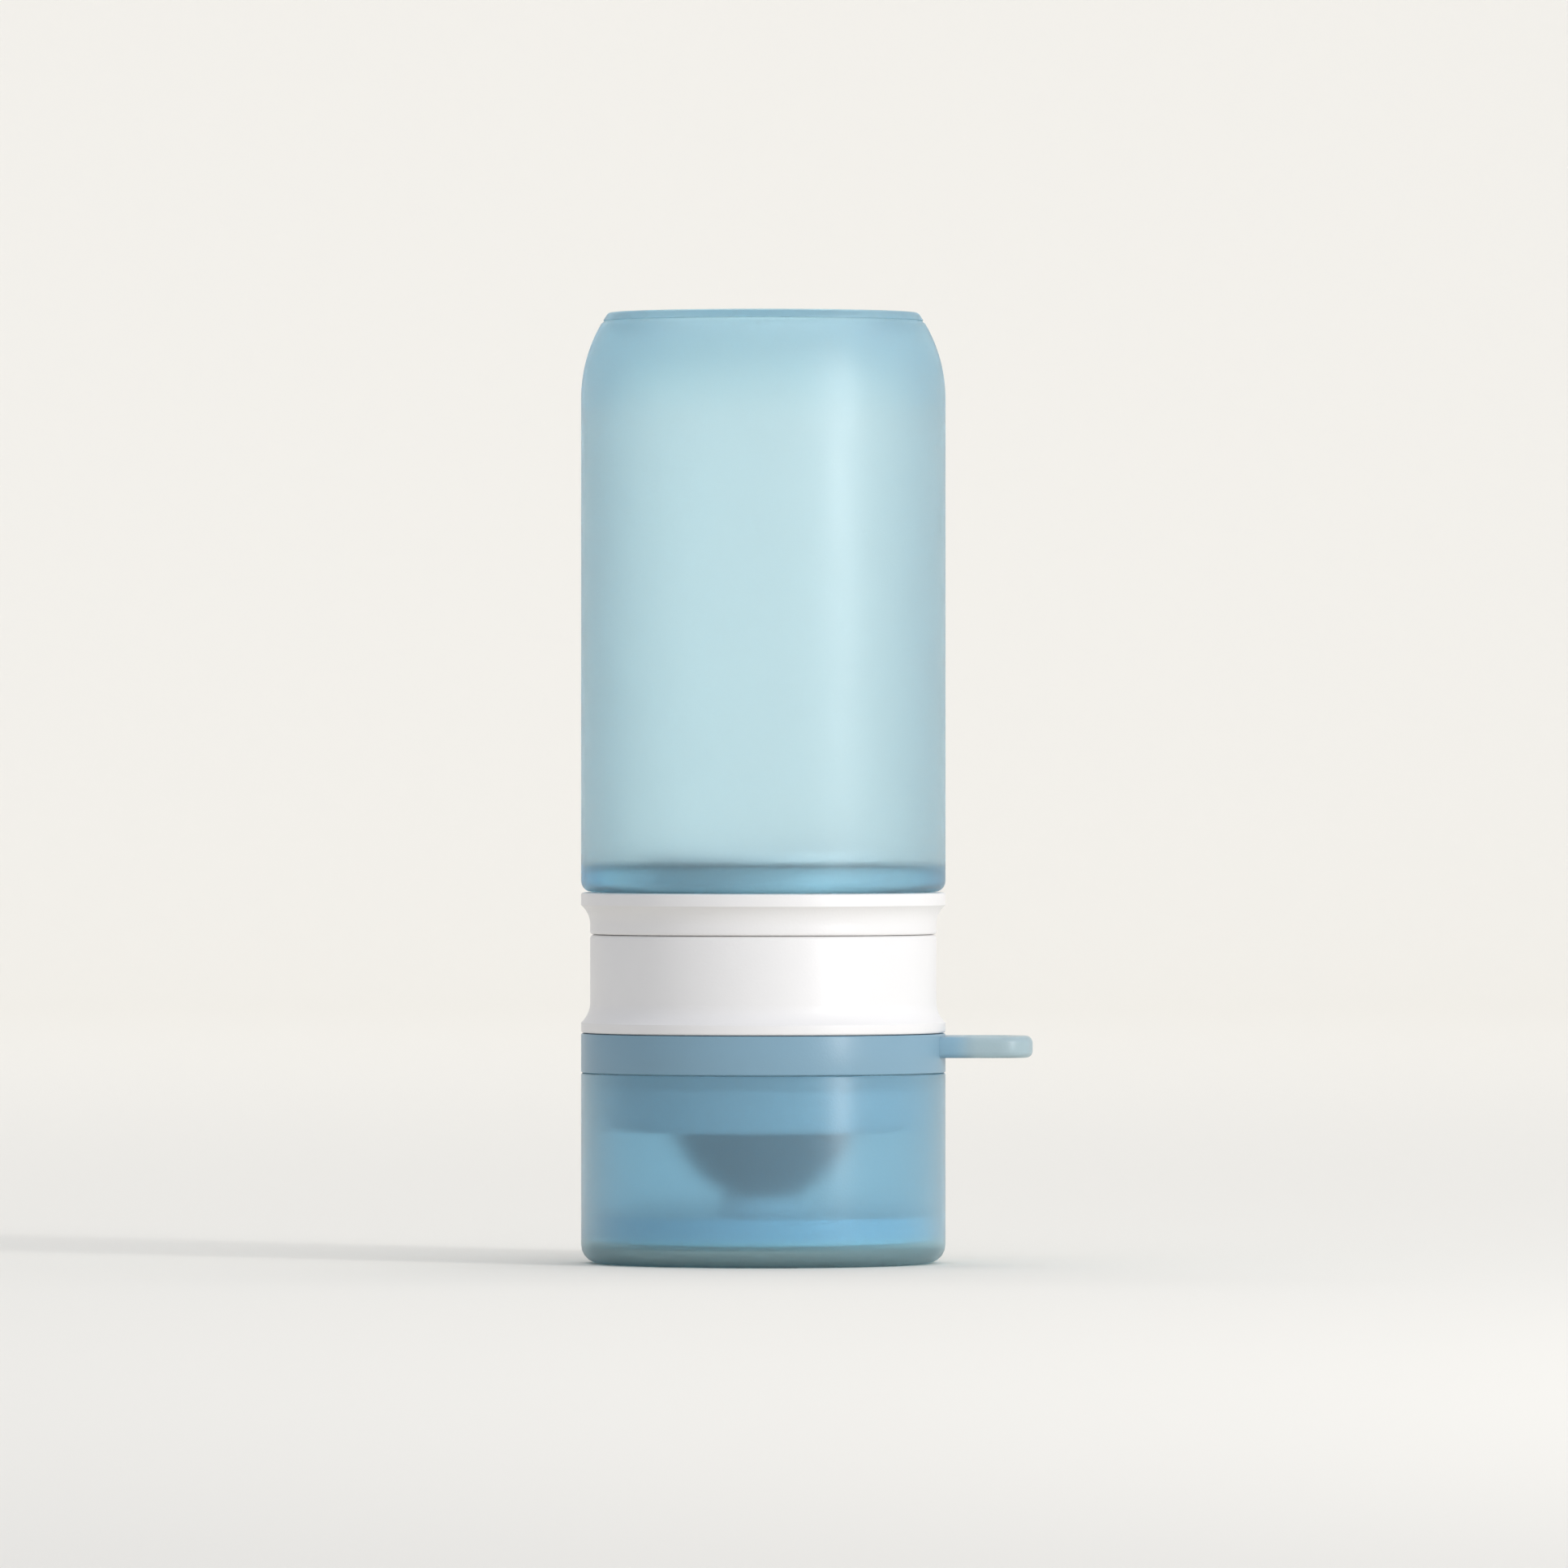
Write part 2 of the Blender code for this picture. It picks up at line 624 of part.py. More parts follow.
def make_closure_ring():
    """Blue ring on the collar's spigot, with the deck, the hang loop and the hinge ears."""
    deck_top = DECK_LEVEL + DECK_THICKNESS
    deck_bore = HOUSING_PASSAGE
    deck_inner = SPIGOT_BORE
    bead = COLLAR_BOTTOM - SNAP_BEAD_LEVEL
    groove = SNAP_BEAD_HEIGHT / 2 + GAP / 2
    corners = [
        (BODY_RADIUS, RING_TOP, SOFT_EDGE),
        (BODY_RADIUS, RING_BOTTOM, SOFT_EDGE),
        (DECK_RADIUS, RING_BOTTOM),
        (DECK_RADIUS, DECK_BEAD_LEVEL + DECK_BEAD),
        (DECK_RADIUS + DECK_BEAD, DECK_BEAD_LEVEL),
        (DECK_RADIUS, DECK_BEAD_LEVEL - DECK_BEAD),
        (DECK_RADIUS, DECK_LEVEL, DECK_EDGE),
        (deck_bore, DECK_LEVEL, SOFT_EDGE),
        (deck_bore, deck_top),
        (deck_inner, deck_top, SOFT_EDGE),
        (deck_inner, RING_SHOULDER),
        (RING_BORE, RING_SHOULDER),
        (RING_BORE, bead - groove),
        (RING_BORE + SNAP_BEAD, bead),
        (RING_BORE, bead + groove),
        (RING_BORE, RING_TOP),
    ]
    obj = turned("closure_ring", rounded(corners, closed=True), True, PARTS)
    near = KNUCKLE_WIDTH / 2 + GAP
    far = near + EAR_WIDTH
    combine(obj, make_hang_loop(), "UNION")
    combine(obj, knuckle("left_ear", 1, -far, -near), "UNION")
    combine(obj, knuckle("right_ear", 1, near, far), "UNION")
    finish(obj)
    give_material(obj, srgb(128, 167, 187), 0.35)
    return obj


def make_ball_housing():
    """Socket for the ball, with its clamped flange, feed hole and valve seat."""
    lip_angle = -math.asin((BALL_LEVEL - DECK_LEVEL) / SOCKET_RADIUS)
    feed_angle = math.acos(FEED_RADIUS / SOCKET_RADIUS)
    socket = arc((0.0, BALL_LEVEL), SOCKET_RADIUS, lip_angle, feed_angle, FINE_ARC_STEP)
    core_outer = HOUSING_RADIUS - CORE_OUTER_WALL

    def dome_level(radius):
        """Height of the socket's outer side over a radius."""
        return BALL_LEVEL + math.sqrt((DOME_RADIUS + GAP / 2) ** 2 - radius**2)

    outer = [
        (VALVE_SEAT_OUTER, RETAINER_TOP, SOFT_EDGE),
        (VALVE_SEAT_OUTER, HOUSING_FLANGE_TOP),
        (CORE_INNER_RADIUS, HOUSING_FLANGE_TOP),
        (CORE_INNER_RADIUS, dome_level(CORE_INNER_RADIUS)),
        (core_outer, dome_level(core_outer)),
        (core_outer, HOUSING_FLANGE_TOP),
        (HOUSING_FLANGE_RADIUS, HOUSING_FLANGE_TOP, SOFT_EDGE),
        (HOUSING_FLANGE_RADIUS, HOUSING_FLANGE_BOTTOM, SOFT_EDGE),
        (HOUSING_RADIUS, HOUSING_FLANGE_BOTTOM),
        (HOUSING_RADIUS, DECK_LEVEL, HOUSING_EDGE),
    ]
    seat = [
        (FEED_RADIUS, VALVE_SEAT_LEVEL),
        (VALVE_SEAT_RADIUS, VALVE_SEAT_LEVEL),
        (VALVE_SEAT_RADIUS, RETAINER_TOP),
    ]
    outline = rounded(outer + socket + seat, closed=True)
    obj = turned("ball_housing", outline, True, PARTS, INNER_SEGMENTS)
    finish(obj)
    give_material(obj, srgb(226, 230, 230), 0.35)
    return obj


def make_roller_ball():
    """Ball that rolls in the housing and carries the contents out."""
    mesh = bpy.data.meshes.new("roller_ball")
    shape = bmesh.new()
    bmesh.ops.create_icosphere(shape, subdivisions=BALL_SUBDIVISIONS, radius=BALL_RADIUS)
    shape.to_mesh(mesh)
    shape.free()
    obj = add_object("roller_ball", mesh, PARTS)
    obj.location = (0.0, 0.0, BALL_LEVEL)
    finish(obj)
    give_material(obj, srgb(92, 112, 124), 0.2)
    return obj


def make_slit_valve():
    """Soft disc with a cross slit through its thin middle."""
    membrane_radius = VALVE_RADIUS - VALVE_RIM
    outline = rounded(
        [
            (0.0, VALVE_BOTTOM + VALVE_MEMBRANE),
            (membrane_radius - VALVE_MEMBRANE, VALVE_BOTTOM + VALVE_MEMBRANE),
            (membrane_radius, VALVE_TOP),
            (VALVE_RADIUS, VALVE_TOP, SOFT_EDGE),
            (VALVE_RADIUS, VALVE_BOTTOM, SOFT_EDGE),
            (0.0, VALVE_BOTTOM),
        ],
        closed=False,
    )
    obj = turned("slit_valve", outline, False, PARTS, SMALL_SEGMENTS)
    long = SLIT_LENGTH / 2
    thin = SLIT_WIDTH / 2
    cross = [
        (long, -thin),
        (long, thin),
        (thin, thin),
        (thin, long),
        (-thin, long),
        (-thin, thin),
        (-long, thin),
        (-long, -thin),
        (-thin, -thin),
        (-thin, -long),
        (thin, -long),
        (thin, -thin),
    ]
    place = Matrix.Translation((0, 0, VALVE_BOTTOM)) @ Matrix.Rotation(SLIT_TURN, 4, "Z")
    combine(obj, plate("cross_slit", [cross], 4 * VALVE_HEIGHT, place), "DIFFERENCE")
    finish(obj)
    give_material(obj, srgb(210, 222, 226), 0.5)
    return obj


def make_valve_retainer():
    """Ring pressed into the seat over the slit valve."""
    outline = rounded(
        [
            (VALVE_RADIUS, RETAINER_TOP),
            (VALVE_RADIUS, RETAINER_BOTTOM),
            (RETAINER_BORE, RETAINER_BOTTOM, SOFT_EDGE),
            (RETAINER_BORE, RETAINER_TOP, SOFT_EDGE),
        ],
        closed=True,
    )
    obj = turned("valve_retainer", outline, True, PARTS, SMALL_SEGMENTS)
    finish(obj)
    give_material(obj, srgb(236, 236, 234), 0.4)
    return obj


def make_flip_lid():
    """Deep lid that the bottle stands on, with the hinge's middle knuckle."""
    corners = [
        (0.0, LID_FLOOR),
        (LID_BORE, LID_FLOOR, LID_INNER_CORNER),
        (LID_BORE, LID_HEIGHT, SOFT_EDGE),
        (BODY_RADIUS, LID_HEIGHT, SOFT_EDGE),
        (BODY_RADIUS, 0.0, LID_CORNER),
        (0.0, 0.0),
    ]
    obj = turned("flip_lid", rounded(corners, closed=False), False, PARTS)
    half = KNUCKLE_WIDTH / 2
    combine(obj, knuckle("middle_knuckle", -1, -half, half), "UNION")
    finish(obj)
    give_material(obj, srgb(126, 167, 189), 0.3)
    return obj


def make_lid_seal_pad():
    """Soft pad on the lid's floor, with a dished cup that presses on the ball."""
    bottom = LID_FLOOR + GAP
    top = bottom + PAD_HEIGHT
    cup_rim = top + PAD_CUP_HEIGHT
    dish_radius = BALL_RADIUS + GAP
    dish_edge = PAD_CUP_RADIUS - PAD_CUP_RIM
    sweep = math.asin(dish_edge / dish_radius)
    down = -math.pi / 2
    dish = arc((0.0, BALL_LEVEL), dish_radius, down, down + sweep, FINE_ARC_STEP)
    dish[0] = (0.0, dish[0][1])
    corners = [
        *dish,
        (PAD_CUP_RADIUS, cup_rim),
        (PAD_CUP_RADIUS, top, SOFT_EDGE),
        (PAD_RADIUS, top, SOFT_EDGE),
        (PAD_RADIUS, bottom, LID_INNER_CORNER),
        (0.0, bottom),
    ]
    obj = turned("lid_seal_pad", rounded(corners, closed=False), False, PARTS, INNER_SEGMENTS)
    finish(obj)
    give_material(obj, srgb(120, 165, 186), 0.6)
    return obj


def make_hinge_pin():
    """Plain pin through the lid's knuckle and the ring's ears."""
    half = KNUCKLE_WIDTH / 2 + GAP + EAR_WIDTH
    outline = [
        (0.0, half),
        (PIN_RADIUS - PIN_CHAMFER, half),
        (PIN_RADIUS, half - PIN_CHAMFER),
        (PIN_RADIUS, -half + PIN_CHAMFER),
        (PIN_RADIUS - PIN_CHAMFER, -half),
        (0.0, -half),
    ]
    obj = turned("hinge_pin", outline, False, PARTS, PIN_SEGMENTS)
    obj.rotation_euler = (0.0, math.pi / 2, 0.0)
    obj.location = (0.0, HINGE_BACK, HINGE_LEVEL)
    finish(obj)
    give_material(obj, srgb(196, 199, 202), 0.25, 1.0)
    return obj


def joint(name, place, parent=None):
    """An empty on a joint's axis."""
    empty = bpy.data.objects.new(name, None)
    empty.empty_display_size = BODY_RADIUS / 4
    PARTS.objects.link(empty)
    empty.location = place
    if parent:
        carry(parent, empty)
    bpy.context.view_layer.update()
    return empty


def carry(parent, *children):
    """Parent objects to an empty and keep them where they are."""
    bpy.context.view_layer.update()
    for child in children:
        child.parent = parent
        child.matrix_parent_inverse = parent.matrix_world.inverted()


def build():
    """Make every piece and hang the moving ones on their joints."""
    squeeze_body = make_squeeze_body()
    neck_ring = make_neck_ring()
    neck_liner = make_neck_liner()
    neck_gasket = make_neck_gasket()
    screw_collar = make_screw_collar()
    closure_ring = make_closure_ring()
    ball_housing = make_ball_housing()
    roller_ball = make_roller_ball()
    slit_valve = make_slit_valve()
    valve_retainer = make_valve_retainer()
    make_flip_lid()
    make_lid_seal_pad()
    hinge_pin = make_hinge_pin()
    lid_flip = joint("lid_flip", (0.0, HINGE_BACK, HINGE_LEVEL))
    carry(lid_flip, screw_collar, closure_ring, ball_housing, slit_valve, valve_retainer, hinge_pin)
    ball_roll = joint("ball_roll", (0.0, 0.0, BALL_LEVEL), lid_flip)
    carry(ball_roll, roller_ball)
    bottle_rise = joint("bottle_rise", (0.0, 0.0, GASKET_BOTTOM), lid_flip)
    carry(bottle_rise, neck_gasket)
    bottle_turn = joint("bottle_turn", (0.0, 0.0, NECK_END), bottle_rise)
    carry(bottle_turn, squeeze_body, neck_ring, neck_liner)


build()
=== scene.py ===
import math

import bmesh
import bpy
from mathutils import Matrix, Vector


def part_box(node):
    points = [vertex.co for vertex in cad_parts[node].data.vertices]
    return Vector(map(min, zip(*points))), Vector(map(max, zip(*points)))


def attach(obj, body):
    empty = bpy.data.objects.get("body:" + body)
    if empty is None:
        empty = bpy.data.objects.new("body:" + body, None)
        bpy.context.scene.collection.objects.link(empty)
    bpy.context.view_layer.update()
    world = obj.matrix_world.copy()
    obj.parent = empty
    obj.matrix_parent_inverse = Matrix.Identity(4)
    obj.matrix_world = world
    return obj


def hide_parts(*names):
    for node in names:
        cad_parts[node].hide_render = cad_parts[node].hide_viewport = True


# looks of the applicator bottle: fine meshes, finishes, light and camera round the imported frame
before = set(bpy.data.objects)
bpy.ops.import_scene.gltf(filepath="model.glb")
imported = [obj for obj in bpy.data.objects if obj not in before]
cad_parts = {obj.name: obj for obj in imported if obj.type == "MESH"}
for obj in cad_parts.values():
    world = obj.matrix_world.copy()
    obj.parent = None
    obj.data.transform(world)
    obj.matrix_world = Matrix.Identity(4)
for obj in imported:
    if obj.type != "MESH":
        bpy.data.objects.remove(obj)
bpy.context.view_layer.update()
print("frame loaded with", len(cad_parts), "nodes")

mm = 0.001
weld = 1e-6  # metres within which points count as one
sharpAngle = math.radians(34)  # edges that turn more than this stay sharp
outerSteps = 192  # steps round the pieces that show
innerSteps = 120  # steps round the pieces inside
cornerSegments = 5
flareSteps = 10
gap = 0.3  # between neighbours, as in the frame
creep = 0.11  # outer edges come this much nearer to each other, for a fine line


def lowOf(node):  # lowest height of a node, in mm
    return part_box(node)[0].z / mm


def topOf(node):  # highest height of a node, in mm
    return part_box(node)[1].z / mm


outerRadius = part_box("flip_lid")[1].x / mm  # of body, rings and lid


# shapes: every profile is a list of (radius, height) or (radius, height, corner) in mm
def arcPoints(centre, radius, start, end, count):
    points = []
    for i in range(count + 1):
        angle = math.radians(start + (end - start) * i / count)
        points.append((centre[0] + radius * math.cos(angle), centre[1] + radius * math.sin(angle)))
    return points


def flarePoints(waist, lip, start, end):  # hollow arc that leaves the waist upright
    spread, rise = lip - waist, end - start
    radius = (spread**2 + rise**2) / (2 * spread)
    sweep = math.degrees(math.asin(rise / radius))
    return arcPoints((waist + radius, start), radius, 180, 180 - sweep, flareSteps)


def arcMirror(points, level):  # the same curve, running down from a level
    return [(radius, level - height) for radius, height in points]


def newObject(name, bm):
    mesh = bpy.data.meshes.new(name)
    bm.to_mesh(mesh)
    bm.free()
    made = bpy.data.objects.new(name, mesh)
    bpy.context.scene.collection.objects.link(made)
    return made


def drawOutline(bm, corners, closed, across=False):  # a wire whose corners are rounded by bevel
    verts = []
    for corner in corners:
        place = (corner[0] * mm, corner[1] * mm, 0) if across else (corner[0] * mm, 0, corner[1] * mm)
        verts.append(bm.verts.new(place))
    ends = verts[1:] + verts[:1] if closed else verts[1:]
    edges = [bm.edges.new(pair) for pair in zip(verts, ends)]
    before = set(bm.edges) - set(edges)
    for vert, corner in zip(verts, corners):
        if len(corner) > 2:
            bmesh.ops.bevel(bm, geom=[vert], offset=corner[2] * mm, offset_type="OFFSET", material=-1,
                            segments=cornerSegments, profile=0.5, affect="VERTICES")
    return [edge for edge in bm.edges if edge not in before]


def spinProfile(name, corners, closed, steps=outerSteps):
    bm = bmesh.new()
    drawOutline(bm, corners, closed)
    bmesh.ops.spin(bm, geom=bm.verts[:] + bm.edges[:], cent=(0, 0, 0), axis=(0, 0, 1), dvec=(0, 0, 0),
                   angle=2 * math.pi, steps=steps, use_merge=True)
    bmesh.ops.remove_doubles(bm, verts=bm.verts[:], dist=weld)
    bmesh.ops.recalc_face_normals(bm, faces=bm.faces[:])
    return newObject(name, bm)


def applyBoolean(piece, tool, operation):
    change = piece.modifiers.new("change", "BOOLEAN")
    change.operation = operation
    change.solver = "EXACT"
    change.object = tool
    bpy.context.view_layer.update()
    graph = bpy.context.evaluated_depsgraph_get()
    mesh = bpy.data.meshes.new_from_object(piece.evaluated_get(graph))
    piece.modifiers.clear()
    piece.data = mesh
    mesh.name = piece.name
    bpy.data.objects.remove(tool)


def finishPiece(piece, material, body, node):
    bm = bmesh.new()
    bm.from_mesh(piece.data)
    bmesh.ops.remove_doubles(bm, verts=bm.verts[:], dist=weld)
    bmesh.ops.dissolve_degenerate(bm, edges=bm.edges[:], dist=weld)
    bm.to_mesh(piece.data)
    bm.free()
    piece.data.materials.clear()
    piece.data.materials.append(material)
    piece.data.shade_smooth()
    piece.data.set_sharp_from_angle(angle=sharpAngle)
    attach(piece, body)
    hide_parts(node)
    print("made", piece.name, "with", len(piece.data.polygons), "faces")
    return piece


# thread of neck and collar, which fades out towards both ends
threadShape = {
    "pitch": 3.0, "turns": 1.1, "rootWidth": 1.7, "crestWidth": 0.9, "sink": 0.3, "steps": 132,
    "runOut": 0.12, "endSwell": 0.2,
}


def makeRidge(name, root, crest, level, startAngle):  # its foot is sunk in the wall it stands on
    thread = threadShape
    sunk = root + (thread["sink"] if crest < root else -thread["sink"])
    bm = bmesh.new()
    section = [(sunk, -thread["rootWidth"] / 2), (crest, -thread["crestWidth"] / 2),
               (crest, thread["crestWidth"] / 2), (sunk, thread["rootWidth"] / 2)]
    face = bm.faces.new([bm.verts.new((x * mm, 0, (level + z) * mm)) for x, z in section])
    bmesh.ops.rotate(bm, verts=bm.verts[:], cent=(0, 0, 0), matrix=Matrix.Rotation(startAngle, 3, "Z"))
    turn = 2 * math.pi * thread["turns"] / thread["steps"]
    rise = thread["pitch"] * thread["turns"] / thread["steps"] * mm
    for step in range(thread["steps"] + 1):
        if step:
            made = bmesh.ops.extrude_face_region(bm, geom=[face])["geom"]
            if step > 1:
                bmesh.ops.delete(bm, geom=[face], context="FACES_ONLY")
            face = [item for item in made if isinstance(item, bmesh.types.BMFace)][0]
            bmesh.ops.rotate(bm, verts=face.verts[:], cent=(0, 0, 0), matrix=Matrix.Rotation(turn, 3, "Z"))
            bmesh.ops.translate(bm, verts=face.verts[:], vec=(0, 0, rise))
        share = step / thread["steps"]
        swell = min(1.0, thread["endSwell"] + min(share, 1 - share) / thread["runOut"])
        tip = (root + (crest - root) * swell) * mm
        for vert in sorted(face.verts, key=lambda v: v.co.z)[1:3]:
            vert.co.xy = vert.co.xy.normalized() * tip
    bmesh.ops.recalc_face_normals(bm, faces=bm.faces[:])
    return newObject(name, bm)


# finishes
plainIor = 1.49
noiseRange = (0.3, 0.7)  # where nearly all of a noise lies
fenceFade = 1.02  # a fenced zone fades out between its radius and this times it


def newFinish(name):
    material = bpy.data.materials.new(name)
    material.use_nodes = True
    return material, material.node_tree, material.node_tree.nodes["Principled BSDF"]


def keepWithin(tree, apart, share, radius):  # the same share, but none beyond a radius from the axis
    flat = tree.nodes.new("ShaderNodeCombineXYZ")
    tree.links.new(apart.outputs["X"], flat.inputs["X"])
    tree.links.new(apart.outputs["Y"], flat.inputs["Y"])
    away = tree.nodes.new("ShaderNodeVectorMath")
    away.operation = "LENGTH"
    tree.links.new(flat.outputs["Vector"], away.inputs[0])
    fence = tree.nodes.new("ShaderNodeMapRange")
    fence.inputs["From Min"].default_value = radius * fenceFade
    fence.inputs["From Max"].default_value = radius
    tree.links.new(away.outputs["Value"], fence.inputs["Value"])
    both = tree.nodes.new("ShaderNodeMath")
    both.operation = "MULTIPLY"
    tree.links.new(share, both.inputs[0])
    tree.links.new(fence.outputs["Result"], both.inputs[1])
    return both.outputs["Value"]


def addSurface(tree, shader, look):  # mottled colour, painted light in some zones, uneven roughness and a fine grain
    coords = tree.nodes.new("ShaderNodeTexCoord")

    def noise(scale, detail):
        made = tree.nodes.new("ShaderNodeTexNoise")
        made.inputs["Scale"].default_value = scale
        made.inputs["Detail"].default_value = detail
        tree.links.new(coords.outputs["Object"], made.inputs["Vector"])
        return made.outputs["Fac"]

    blend = tree.nodes.new("ShaderNodeMix")
    blend.data_type = "RGBA"
    blend.inputs["A"].default_value = (*look["colour"], 1)
    blend.inputs["B"].default_value = (*look["otherColour"], 1)
    tree.links.new(noise(look["mottleScale"], 3), blend.inputs["Factor"])
    colour = blend.outputs["Result"]
    for zone, axis in (("tip", "X"), ("deck", "Z"), ("floor", "Z")):  # painted light: zones painted paler, on the loop's tip, the ring's deck, the lid's lowest band and the pad's cup
        if zone + "Colour" in look:
            apart = tree.nodes.new("ShaderNodeSeparateXYZ")
            tree.links.new(coords.outputs["Object"], apart.inputs["Vector"])
            reach = tree.nodes.new("ShaderNodeMapRange")
            reach.interpolation_type = "SMOOTHSTEP"
            reach.inputs["From Min"].default_value = look[zone + "From"]
            reach.inputs["From Max"].default_value = look[zone + "To"]
            tree.links.new(apart.outputs[axis], reach.inputs["Value"])
            share = reach.outputs["Result"]
            if zone + "Within" in look:
                share = keepWithin(tree, apart, share, look[zone + "Within"])
            shift = tree.nodes.new("ShaderNodeMix")
            shift.data_type = "RGBA"
            shift.inputs["B"].default_value = (*look[zone + "Colour"], 1)
            tree.links.new(share, shift.inputs["Factor"])
            tree.links.new(colour, shift.inputs["A"])
            colour = shift.outputs["Result"]
    tree.links.new(colour, shader.inputs["Base Color"])
    spread = tree.nodes.new("ShaderNodeMapRange")
    spread.inputs["From Min"].default_value = noiseRange[0]
    spread.inputs["From Max"].default_value = noiseRange[1]
    spread.inputs["To Min"].default_value = look["rough"][0]
    spread.inputs["To Max"].default_value = look["rough"][1]
    tree.links.new(noise(look["roughScale"], 2), spread.inputs["Value"])
    tree.links.new(spread.outputs["Result"], shader.inputs["Roughness"])
    bump = tree.nodes.new("ShaderNodeBump")
    bump.inputs["Strength"].default_value = look["grain"]
    bump.inputs["Distance"].default_value = look["grainDepth"]
    tree.links.new(noise(look["grainScale"], 2), bump.inputs["Height"])
    tree.links.new(bump.outputs["Normal"], shader.inputs["Normal"])


def makeFinish(name, look):
    material, tree, shader = newFinish(name)
    addSurface(tree, shader, look)
    shader.inputs["IOR"].default_value = look.get("ior", plainIor)
    shader.inputs["Metallic"].default_value = look.get("metal", 0.0)
    shader.inputs["Transmission Weight"].default_value = look.get("through", 0.0)
    if "inside" in look:  # colour that deepens with the thickness of the wall
        tinted = tree.nodes.new("ShaderNodeVolumeAbsorption")
        tinted.inputs["Color"].default_value = (*look["inside"], 1)
        tinted.inputs["Density"].default_value = look["density"]
        tree.links.new(tinted.outputs["Volume"], tree.nodes["Material Output"].inputs["Volume"])
    return material


siliconeLook = {
    "colour": (0.875, 0.975, 1.0), "otherColour": (0.86, 0.97, 0.995), "mottleScale": 60,
    "rough": (0.34, 0.40), "roughScale": 300, "grain": 0.15, "grainDepth": 0.0001, "grainScale": 3500,
    "ior": 1.38, "through": 0.93, "inside": (0.08, 0.76, 0.99), "density": 50,
}
frostedLook = {
    "colour": (0.525, 0.785, 0.92), "otherColour": (0.505, 0.775, 0.905), "mottleScale": 60,
    "rough": (0.28, 0.34), "roughScale": 300, "grain": 0.12, "grainDepth": 0.0001, "grainScale": 3500,
    "ior": 1.37, "through": 0.87,
}
# painted light: the lid's lowest band is painted paler, lightening the shade where it stands on the floor
lidLook = dict(
    frostedLook, rough=(0.277, 0.295), floorColour=(0.62, 0.93, 1.0), floorFrom=0.0038,
    floorTo=0.0018,
)
# painted light: the hang loop's tip and the deck are painted paler than the band, where light gathers
ringLook = dict(
    frostedLook, colour=(0.30, 0.488, 0.605), otherColour=(0.288, 0.475, 0.592),
    through=0.35, inside=(0.04, 0.57, 0.79), density=45,
    tipColour=(0.45, 0.57, 0.60), tipFrom=0.0225, tipTo=0.0260,
    deckColour=(0.96, 0.99, 1.0), deckFrom=0.0234, deckTo=0.0224, deckWithin=0.0205,
)
whiteLook = {
    "colour": (0.75, 0.735, 0.72), "otherColour": (0.73, 0.715, 0.70), "mottleScale": 90,
    "rough": (0.34, 0.42), "roughScale": 250, "grain": 0.12, "grainDepth": 0.0001, "grainScale": 3000,
}
naturalLook = {
    "colour": (0.90, 0.92, 0.92), "otherColour": (0.87, 0.90, 0.90), "mottleScale": 90,
    "rough": (0.34, 0.44), "roughScale": 250, "grain": 0.12, "grainDepth": 0.0001, "grainScale": 3000,
}
sealLook = {
    "colour": (0.66, 0.86, 0.94), "otherColour": (0.63, 0.84, 0.92), "mottleScale": 90,
    "rough": (0.50, 0.60), "roughScale": 250, "grain": 0.2, "grainDepth": 0.0001, "grainScale": 2500,
    "ior": 1.41,
}
# painted light: the pad's cup is painted paler, lightening the shade under the ball
padLook = dict(sealLook, deckColour=(0.93, 0.96, 0.97), deckFrom=0.0056, deckTo=0.0062)
ballLook = {
    "colour": (0.085, 0.125, 0.155), "otherColour": (0.07, 0.105, 0.13), "mottleScale": 120,
    "rough": (0.18, 0.27), "roughScale": 400, "grain": 0.05, "grainDepth": 0.00005, "grainScale": 2000,
}
steelLook = {
    "colour": (0.56, 0.57, 0.59), "otherColour": (0.50, 0.51, 0.53), "mottleScale": 500,
    "rough": (0.28, 0.36), "roughScale": 900, "grain": 0.1, "grainDepth": 0.00005, "grainScale": 4000,
    "metal": 1.0,
}
silicone = makeFinish("blue silicone", siliconeLook)
frosted = makeFinish("frosted blue plastic", lidLook)
# painted light: paler loop tip and deck on the closure ring
ringFrosted = makeFinish("frosted blue plastic with painted light on loop and deck", ringLook)
white = makeFinish("white plastic", whiteLook)
natural = makeFinish("natural plastic", naturalLook)
seal = makeFinish("seal silicone", sealLook)
# painted light: paler cup on the seal pad
padSeal = makeFinish("seal silicone with painted light on cup", padLook)
ballFinish = makeFinish("polished ball", ballLook)
steel = makeFinish("drawn steel", steelLook)
print("finishes made")

# soft bottle
bodyShape = {
    "wall": 1.8, "flange": 2.9, "base": 1.6, "dishRadius": 15.5, "dishDepth": 0.4, "dishEdge": 0.2,
    "rimEdge": 0.6, "shoulderRadius": 18.0, "shoulderHeight": 9.8, "shoulderSteps": 16, "footEdge": 1.3,
    "cavityEdge": 0.9, "ceilingEdge": 2.0, "shoulderThick": 3.5, "hollowSteps": 12,
    "lineDrop": 0.95, "lineHeight": 0.4, "lineDepth": 0.14, "lineSlope": 0.1, "lineEdge": 0.05,
    "neck": 16.2, "neckWall": 1.8, "lip": 17.6, "lipHeight": 0.9, "lipEdge": 0.2,
    "ribInner": 18.4, "ribOuter": 19.5, "ribDrop": 3.2, "ribEdge": 0.3,
}


